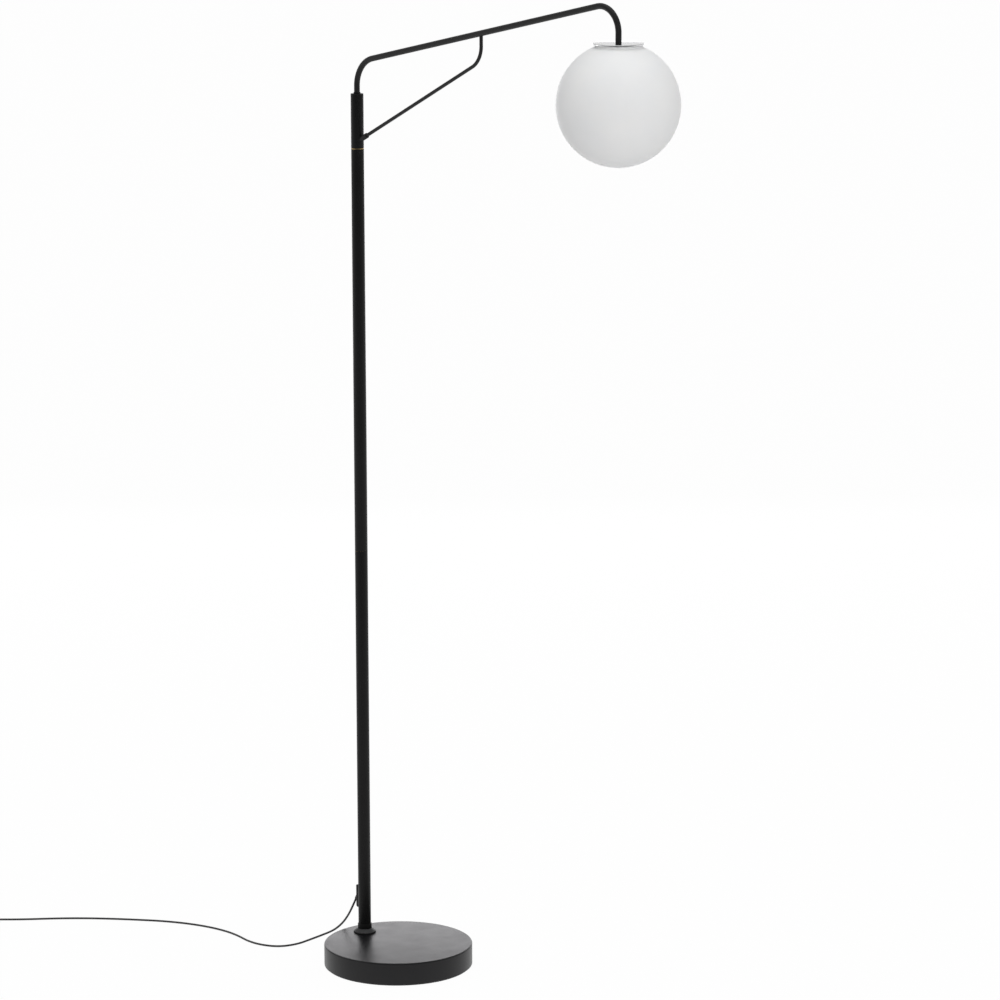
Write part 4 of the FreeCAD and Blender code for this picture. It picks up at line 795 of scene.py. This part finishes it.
armShape = {"radius": 0.005, "bore": 0.004, "foot": 1.474, "turnStart": 1.5282, "bendLow": 0.05,
            "bendHigh": 0.04, "slope": 12.44}
braceShape = {"radius": 0.003, "bend": 0.04, "slope": 26.98, "x": 0.2217,
              "foot": (-0.0745, 0, 1.4402), "ferrule": 0.0045, "ferruleBore": 0.00305,
              "ferruleLength": 0.013, "copeDepth": 0.0016, "copeReach": 0.0045, "sink": 0.0002}


# The arm's straight runs meet at these corners.
def armCorners():
    rise = math.radians(armShape["slope"])
    half = (math.pi / 2 - rise) / 2
    cornerLow = Vector((poleAxis.x, 0,
                        armShape["turnStart"] + armShape["bendLow"] * math.tan(half)))
    reach = globeAxis.x - cornerLow.x
    cornerHigh = cornerLow + Vector((reach, 0, reach * math.tan(rise)))
    return cornerLow, cornerHigh, rise


def makeArm():
    cornerLow, cornerHigh, rise = armCorners()
    start = Vector((poleAxis.x, 0, armShape["foot"]))
    end = Vector((globeAxis.x, 0, capTop))
    line = bentLine([start, cornerLow, cornerHigh, end],
                    [armShape["bendLow"], armShape["bendHigh"]], 0.002)
    arm = tube("armTubeSkin", line, armShape["radius"], armBlack, armShape["bore"], 64)
    stand(arm, "arm_tube")

    shape = braceShape
    slope = math.radians(shape["slope"])
    foot = Vector(shape["foot"])
    over = cornerLow.z + (shape["x"] - cornerLow.x) * math.tan(rise)
    corner = Vector((shape["x"], 0, foot.z + (shape["x"] - foot.x) * math.tan(slope)))
    under = Vector((shape["x"], 0, over - armShape["radius"] / math.cos(rise)))
    line = bentLine([foot, corner, under], [shape["bend"]], 0.002)
    rod = tube("braceRodSkin", line, shape["radius"], armBlack, 0, 48, 0.0001)
    cope(rod, under, rise)
    stand(rod, "brace_rod")

    way = Vector((math.cos(slope), 0, math.sin(slope)))
    bore, radius, long = (shape[key] for key in ("ferruleBore", "ferrule", "ferruleLength"))
    ferrule = lathe("ferruleSkin", [(bore, 0), (radius, 0), (radius, long, 0.0005), (bore, long)],
                    origin, armBlack, 64)
    aim(ferrule, foot, way)
    saddle(ferrule, foot, way)
    stand(ferrule, "brace_ferrule")


# Carry the brace's top end round the underside of the arm.
def cope(rod, under, rise):
    radius, shape = armShape["radius"], braceShape
    for vertex in rod.data.vertices:
        spot = vertex.co
        if spot.z > under.z - shape["copeDepth"] and abs(spot.x - under.x) < shape["copeReach"]:
            centre = under.z + radius / math.cos(rise) + (spot.x - under.x) * math.tan(rise)
            reach = math.sqrt(max(radius ** 2 - spot.y ** 2, 0)) / math.cos(rise)
            spot.z = centre - reach + shape["sink"]
    rod.data.update()
    smooth(rod.data)


# Carry the ferrule's foot back on to the round of the pole.
def saddle(ferrule, foot, way):
    for vertex in ferrule.data.vertices:
        spot = vertex.co
        if (spot - foot).dot(way) < 0.0001:  # only its end ring
            edge = poleAxis.x + math.sqrt(poleShape["radius"] ** 2 - spot.y ** 2) - 0.00005
            spot += way * ((edge - spot.x) / way.x)
    ferrule.data.update()


makeBase()
makeFoot()
makePole()
makeArm()
print("base, pole and arm made")


capShape = {"radius": 0.042, "bore": 0.0041, "skirt": 0.0408, "sheet": 0.001, "round": 0.0009,
            "edge": 0.0003}


# Flat polished disc with a short skirt.
def makeCap():
    shape = capShape
    low, under = span("cap_disc")[0], capTop - shape["sheet"]
    turned("capDiscSkin", "cap_disc", [
        (shape["bore"], under), (shape["skirt"], under), (shape["skirt"], low, shape["edge"]),
        (shape["radius"], low, shape["edge"]), (shape["radius"], capTop, shape["round"]),
        (shape["bore"], capTop)], globeAxis, chrome, 192, 8)


globeShape = {"centre": 1.543, "radius": 0.1, "wall": 0.003, "neck": 0.0385, "top": 1.6394,
              "steps": 72, "shoulder": 0.0012}


# Outer and inner skin of the glass, from the bottom up to the neck and back.
def makeGlobe():
    shape = globeShape
    skins = []
    for inset in (0, shape["wall"]):
        radius, throat = shape["radius"] - inset, shape["neck"] - inset
        stop = math.atan2(math.sqrt(radius ** 2 - throat ** 2), throat)
        arc = ballArc(radius, stop, shape["steps"], shape["centre"])
        arc[-1] += (shape["shoulder"],)
        skins.append(arc + [(throat, shape["top"], 0.001)])
    turned("globeGlassSkin", "globe_glass", skins[0] + skins[1][::-1], globeAxis, opal, 192, 4, 60)


bulbShape = {
    "centre": 1.524, "radius": 0.03, "seam": 0.0078, "floor": 0.008,
    "housing": [(0.0285, 0.008, 0.0004), (0.0285, 0.012, 0.002), (0.0262, 0.02, 0.006),
                (0.022, 0.029, 0.008), (0.0175, 0.039, 0.006), (0.0156, 0.046, 0.004)],
    "neck": 0.0156, "neckDrop": 0.0662, "stub": 0.0121, "stubDrop": 0.058,
    "threadPitch": 0.00363, "root": 0.0124, "crest": 0.01325, "lip": 0.0129, "mouth": 0.0122,
    "fin": [(0.021, 0.0215), (0.0258, 0.0215), (0.0222, 0.0295), (0.0182, 0.038),
            (0.0165, 0.0445), (0.0145, 0.0445)],
    "fins": 24, "finHalf": 0.0005,
}


def makeBulb():
    shape = bulbShape
    z, radius, seam = shape["centre"], shape["radius"], shape["seam"]
    arc = ballArc(radius, math.atan2(seam, math.sqrt(radius ** 2 - seam ** 2)), 32)
    turned("bulbDomeSkin", "bulb_dome", arc + [(0, seam)], globeAxis + Vector((0, 0, z)),
           bulbOpal, 96)

    top, end = capTop - shape["neckDrop"], capTop - shape["stubDrop"]
    side = [(reach, z + height, bend) for reach, height, bend in shape["housing"]]
    turned("bulbHousingSkin", "bulb_housing", [(0, z + shape["floor"])] + side + [
        (shape["neck"], top, 0.0006), (shape["stub"], top), (shape["stub"], end), (0, end)],
        globeAxis, bulbWhite, 96)

    low, high = span("bulb_screw_shell")
    corners = [(shape["stub"], low), (shape["lip"], low)]
    root, pitch = shape["root"], shape["threadPitch"]
    turn = low + 0.001
    while turn + pitch < high - 0.001:
        corners += [(root, turn, 0.0006), (shape["crest"], turn + pitch / 2, 0.0009)]
        turn += pitch
    corners += [(root, turn, 0.0006), (shape["mouth"], high)]
    turned("bulbShellSkin", "bulb_screw_shell", corners, globeAxis, nickelShell, 72, 4)


# Slim upright blades round the housing.
def makeFins():
    shape = bulbShape
    half, inside, z = shape["finHalf"], shape["fin"][0][0], shape["centre"]
    points = [(reach - inside, side * half, z + height)
              for side in (-1, 1) for reach, height in shape["fin"]]
    count = len(shape["fin"])
    faces = [list(range(count))[::-1], list(range(count, 2 * count))]
    faces += [[k, (k + 1) % count, (k + 1) % count + count, k + count] for k in range(count)]
    blade = newMesh("blade", points, faces, bulbWhite)
    outward(blade)
    fins = ringOf("bulbFins", blade, bulbWhite, shape["fins"], inside, globeAxis)
    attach(fins, nodes["bulb_housing"]["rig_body"])


makeCap()
makeGlobe()
makeBulb()
makeFins()
print("globe head made")


keptPieces = {  # these keep the CAD form and take a finish
    "base_ballast": iron, "cover_pads": felt, "foot_bolt": zincSteel, "foot_washer": zincSteel,
    "pole_foot_insert": zincSteel, "coupling_bushes": zincSteel, "arm_socket": zincSteel,
    "outlet_plate": blackMoulding, "outlet_screw": zincSteel, "cable_grip": blackMoulding,
    "arm_nipple": zincSteel, "globe_fitter": fitterMetal, "nipple_washer": zincSteel,
    "nipple_nut": zincSteel, "holder_cap": holderMoulding, "holder_insert": ceramicWhite,
    "holder_sleeve": holderMoulding, "holder_screw_shell": turnedBrass,
    "holder_tongue": turnedBrass, "terminal_screws": turnedBrass, "globe_ring": fitterMetal,
    "globe_seal": siliconeClear, "bulb_tip": nickelShell, "bulb_insulator": blackGlaze,
    "switch_base": blackMoulding, "switch_block": ceramicWhite, "switch_screws": zincSteel,
    "plug_pins": nickelShell, "cord_tie": blackMoulding,
}


def keepForm(node, material):
    work = bmesh.new()
    work.from_mesh(nodes[node].data)
    bmesh.ops.remove_doubles(work, verts=work.verts, dist=2e-6)
    bmesh.ops.dissolve_degenerate(work, edges=work.edges, dist=1e-7)
    mesh = bpy.data.meshes.new(node + "Skin")
    work.to_mesh(mesh)
    work.free()
    mesh.materials.append(material)
    smooth(mesh, 28)
    stand(added(node + "Skin", mesh), node)


for node, material in keptPieces.items():
    keepForm(node, material)
print("inner parts dressed")


outletShape = {
    "relief": [(0.00182, 0), (0.0033, 0), (0.0033, 0.0162, 0.001), (0.003, 0.0175, 0.002),
               (0.0025, 0.028, 0.0004), (0.00182, 0.028)],
    "sunk": 0.016,      # how far the relief starts behind the plate's mouth
    "cableTop": 0.031,  # below the cap's top
}


# The relief at the pole's back, and the cable inside from the head down to it.
def makeOutlet():
    shape = outletShape
    way, mouth = outletWay(), outletMouth()
    relief = lathe("outletReliefSkin", shape["relief"], origin, blackRubber, 64)
    aim(relief, mouth - way * shape["sunk"], way)
    stand(relief, "outlet_relief")
    cornerLow, cornerHigh = armCorners()[:2]
    bend = mouth - way * ((mouth.x - poleAxis.x) / way.x)
    line = bentLine([Vector((globeAxis.x, 0, capTop - shape["cableTop"])), cornerHigh, cornerLow,
                     bend, mouth + way * leadShape["reliefReach"]],
                    [armShape["bendHigh"], armShape["bendLow"], leadShape["bendInside"]])
    stand(tube("innerCable", line, leadShape["radius"], sheath, 0, 20), "cable_inner")


bootShape = {"long": 0.021, "straight": 0.0118, "wide": 0.0039, "narrow": 0.0025,
             "bore": 0.00182, "rings": 4, "groove": 0.0006, "tip": 0.001}


# A tapered boot with flex rings, on the lead at one end of the switch.
def reliefBoot(start, way):
    shape = bootShape
    bore, wide, narrow = shape["bore"], shape["wide"], shape["narrow"]
    step = (shape["long"] - shape["tip"] - shape["straight"]) / shape["rings"]
    corners = [(bore, 0), (wide, 0, 0.0003)]
    for index in range(shape["rings"]):
        here, after = (wide + (narrow - wide) * place / shape["rings"]
                       for place in (index, index + 1))
        for radius, share in ((here, 0), (here - shape["groove"], 0.18),
                              (after - shape["groove"], 0.42), (after, 0.6)):
            corners.append((radius, shape["straight"] + step * (index + share), 0.0002))
    corners += [(narrow, shape["long"], 0.0004), (bore, shape["long"])]
    boot = lathe("boot", corners, origin, blackRubber, 48, 3)
    aim(boot, start, way)
    return boot


switchShape = {"length": 0.086, "width": 0.052, "low": 0.008, "high": 0.022, "round": 0.009,
               "hole": 0.0149}
buttonShape = {"radius": 0.0145, "top": 0.025, "round": 0.0025, "skirt": 0.015, "wall": 0.002,
               "under": 0.017, "stem": 0.004, "stemFoot": 0.0134,
               "rings": (0.0105, 0.0085, 0.0065), "groove": 0.0004}


# A long round-ended ring, its points spaced by angle so that rings of any size match.
def stadiumRing(length, width, height):
    radius, run = width / 2, (length - width) / 2
    ring = []
    for index in range(96):
        way = 2 * math.pi * (index + 0.5) / 96
        c, s = math.cos(way), math.sin(way)
        if abs(c) * radius <= run * abs(s):
            reach = radius / abs(s)
        else:
            reach = run * abs(c) + math.sqrt(max(radius ** 2 - (run * s) ** 2, 0))
        ring.append(Vector((reach * c, reach * s, height)))
    return ring


def makeSwitch():
    shape = switchShape
    length, width, low, high, bend, hole = (shape[key] for key in (
        "length", "width", "low", "high", "round", "hole"))
    sections = [stadiumRing(length - 0.0006, width - 0.0006, low),
                stadiumRing(length, width, low + 0.0004), stadiumRing(length, width, high - bend)]
    for step in range(1, 11):
        turn = math.pi / 2 * step / 10
        inset = 2 * bend * (1 - math.cos(turn))
        sections.append(stadiumRing(length - inset, width - inset,
                                    high - bend + bend * math.sin(turn)))
    for radius, height in ((hole + 0.0007, high), (hole + 0.0002, high - 0.0002),
                           (hole, high - 0.0007), (hole, high - 0.005)):
        sections.append(stadiumRing(radius * 2, radius * 2, height))
    cover = loft("switchCoverSkin", sections, blackMoulding)
    heading = Matrix.Rotation(math.radians(leadShape["switchHeading"]), 4, "Z")
    spot = middle("switch_button")
    spot.z = 0
    cover.data.transform(Matrix.Translation(spot) @ heading)
    stand(cover, "switch_cover")

    shape = buttonShape
    button, top, groove = shape["radius"], shape["top"], shape["groove"]
    inside, under = button - shape["wall"], shape["under"]
    corners = [(0, shape["stemFoot"]), (shape["stem"], shape["stemFoot"]), (shape["stem"], under),
               (inside, under), (inside, shape["skirt"]), (button, shape["skirt"]),
               (button, top, shape["round"])]
    for ring in shape["rings"]:
        corners += [(ring, top, 0.0002), (ring - 0.0003, top - groove, 0.0002),
                    (ring - 0.0007, top - groove, 0.0002), (ring - 0.001, top, 0.0002)]
    turned("switchButtonSkin", "switch_button", corners + [(0, top)], spot, blackMoulding, 96)

    along = leadHeading()
    centre = spot + Vector((0, 0, leadShape["switchLevel"]))
    start = leadShape["switchHalf"] - bootShape["long"]
    boots = [reliefBoot(centre + along * side * start, along * side) for side in (-1, 1)]
    stand(join("switchReliefsSkin", boots), "switch_reliefs")


plugShape = {
    "stations": [(0.019, 0.0042, 0.0042), (0.025, 0.0075, 0.0054), (0.037, 0.0135, 0.0066),
                 (0.053, 0.0175, 0.0067)],  # along, half width, half height
    "sleeve": (0.020, 0.0024, 0.0041),      # length, radius at the tail, radius at the body
    "rings": 5,
    "groove": 0.0006,
    "power": 4.0,                           # of its section: 2 is an ellipse
    "edge": 0.0008,
}


# One section of the plug, squarer as the power rises.
def plugRing(halfWidth, halfHeight, reach, power):
    ring = []
    for index in range(64):
        way = 2 * math.pi * index / 64
        c, s = math.cos(way), math.sin(way)
        ring.append(Vector((halfWidth * math.copysign(abs(c) ** (2 / power), c), reach,
                            halfHeight * math.copysign(abs(s) ** (2 / power), s))))
    return ring


def makePlug():
    shape = plugShape
    edge, power = shape["edge"], shape["power"]
    sections = []
    long, narrow, wide = shape["sleeve"]
    for index in range(shape["rings"]):
        for part, drop in ((0.05, 0), (0.5, 0), (0.6, shape["groove"]), (0.92, shape["groove"])):
            share = (index + part) / shape["rings"]
            radius = narrow + (wide - narrow) * share - drop
            sections.append(plugRing(radius, radius, long * share, 2.0))
    stations = shape["stations"]
    for index in range(33):
        at = stations[0][0] + (stations[-1][0] - stations[0][0]) * index / 32
        if at <= long:
            continue
        for before, after in zip(stations, stations[1:]):
            if before[0] <= at <= after[0] + 1e-9:
                part = (at - before[0]) / (after[0] - before[0])
                wide = before[1] + (after[1] - before[1]) * part
                tall = before[2] + (after[2] - before[2]) * part
        sections.append(plugRing(wide, tall, at, 2.0 + (power - 2) * min(1, index / 12)))
    end, wide, tall = stations[-1]
    sections[0] = plugRing(narrow, narrow, 0, 2.0)
    sections[-1] = plugRing(wide, tall, end - edge, power)
    sections.append(plugRing(wide - edge, tall - edge, end, power))
    body = loft("plugBodySkin", sections, blackMoulding, 50)
    body.data.transform(Matrix.Translation(plugTail()))
    outward(body)
    smooth(body.data, 50)
    stand(body, "plug_body")


makeOutlet()
makeSwitch()
makePlug()
print("outlet, switch and plug made")


# White to the camera and in reflections, plain pale paper to every other ray.
def studioPaper():
    finish = Finish("studioPaper")
    path = finish.node("ShaderNodeLightPath")
    camera, glossy, through = (Signal(finish, path.outputs[label]) for label in (
        "Is Camera Ray", "Is Glossy Ray", "Is Transmission Ray"))
    seen = camera + glossy + through
    glow = finish.node("ShaderNodeEmission", None, {"Color": (1, 1, 1, 1), "Strength": 1.0})
    finish.put(finish.shader.inputs["Base Color"], (0.86, 0.86, 0.86, 1))
    finish.put(finish.shader.inputs["Roughness"], 0.9)
    mix = finish.node("ShaderNodeMixShader", None, {
        "Fac": seen * 0.975, 1: finish.shader.outputs[0], 2: glow.outputs[0]})
    finish.put(finish.tree.nodes["Material Output"].inputs["Surface"], mix.outputs[0])
    return finish.material


level = Vector((viewAhead.x, viewAhead.y, 0)).normalized()  # away from the camera, level
beside = level.cross(Vector((0, 0, 1)))
paperSize = {"back": 40, "front": 3.6, "side": 40, "drop": 0.0003}  # drop keeps it off the pad


# The paper stops short of the camera, so upright polished edges mirror the dim room there.
def makeStage():
    back, front, side = (paperSize[key] for key in ("back", "front", "side"))
    drop = Vector((0, 0, -paperSize["drop"]))
    corners = [level * along + beside * across + drop for along, across in
               ((-front, -side), (-front, side), (back, side), (back, -side))]
    newMesh("floor", corners, [[0, 1, 2, 3]], studioPaper())


roomLight = {"behind": 1.0, "side": 0.62, "front": 0.2, "above": 0.7}


# White to the camera; to the lamp a room that is bright behind it and dim on the camera's side.
def makeWorld():
    world = bpy.data.worlds.new("studio")
    bpy.context.scene.world = world
    world.use_nodes = True
    tree = world.node_tree
    tree.nodes.clear()
    make, link = tree.nodes.new, tree.links.new
    coords = make("ShaderNodeTexCoord")
    toView = make("ShaderNodeVectorMath")  # 1 towards the camera's side, -1 behind the lamp
    toView.operation = "DOT_PRODUCT"
    toView.inputs[1].default_value = -level
    link(coords.outputs["Generated"], toView.inputs[0])
    height = make("ShaderNodeSeparateXYZ")
    link(coords.outputs["Generated"], height.inputs[0])
    behind, side, front, above = (roomLight[key] for key in ("behind", "side", "front", "above"))
    total = None
    for source, low, high, start, end in (
            (toView.outputs["Value"], -0.95, -0.6, behind - side, 0.0),
            (toView.outputs["Value"], 0.3, 0.9, 0.0, front - side),
            (height.outputs["Z"], 0.25, 0.9, side, above)):
        shade = make("ShaderNodeMapRange")
        shade.interpolation_type = "SMOOTHSTEP"
        for label, value in zip(("From Min", "From Max", "To Min", "To Max"),
                                (low, high, start, end)):
            shade.inputs[label].default_value = value
        link(source, shade.inputs["Value"])
        add = make("ShaderNodeMath")
        link(shade.outputs["Result"], add.inputs[0])
        add.inputs[1].default_value = 0
        if total:
            link(total, add.inputs[1])
        total = add.outputs[0]
    room, white = make("ShaderNodeBackground"), make("ShaderNodeBackground")
    link(total, room.inputs["Strength"])
    white.inputs["Color"].default_value = (1, 1, 1, 1)
    mix = make("ShaderNodeMixShader")
    link(make("ShaderNodeLightPath").outputs["Is Camera Ray"], mix.inputs["Fac"])
    link(room.outputs[0], mix.inputs[1])
    link(white.outputs[0], mix.inputs[2])
    link(mix.outputs[0], make("ShaderNodeOutputWorld").inputs["Surface"])


def lamp(name, spot, target, wide, tall, power, colour=(1, 1, 1)):
    data = bpy.data.lights.new(name, "AREA")
    data.shape = "RECTANGLE"
    data.size = wide
    data.size_y = tall
    data.energy = power
    data.color = colour
    light = added(name, data)
    way = Vector(target) - Vector(spot)
    turn = way.to_track_quat("-Z", "Y").to_matrix().to_4x4()
    light.matrix_world = Matrix.Translation(Vector(spot)) @ turn
    return light


makeStage()
makeWorld()
lamp("topBox", (0.2, -0.2, 4.6), (0.2, 0, 0), 3.2, 3.2, 26, (0.97, 0.985, 1.0))
frontBox = lamp("frontBox", level * -3.9 + beside * 0.9 + Vector((0.3, 0, 2.9)), (0.3, 0, 1.3),
                2.8, 2.0, 76)
frontBox.visible_glossy = False
lamp("leftBox", (-2.6, -1.6, 1.6), (-0.1, 0, 0.9), 0.8, 2.6, 4, (1.0, 0.97, 0.94))
backBox = lamp("backBox", level * 4 + Vector((0, 0, 1.05)), (0.05, 0, 0.1), 4.4, 1.5, 36,
               (0.985, 0.97, 1.0))
backBox.visible_camera = False
bpy.context.scene.view_settings.view_transform = "Standard"

print("scene ready")
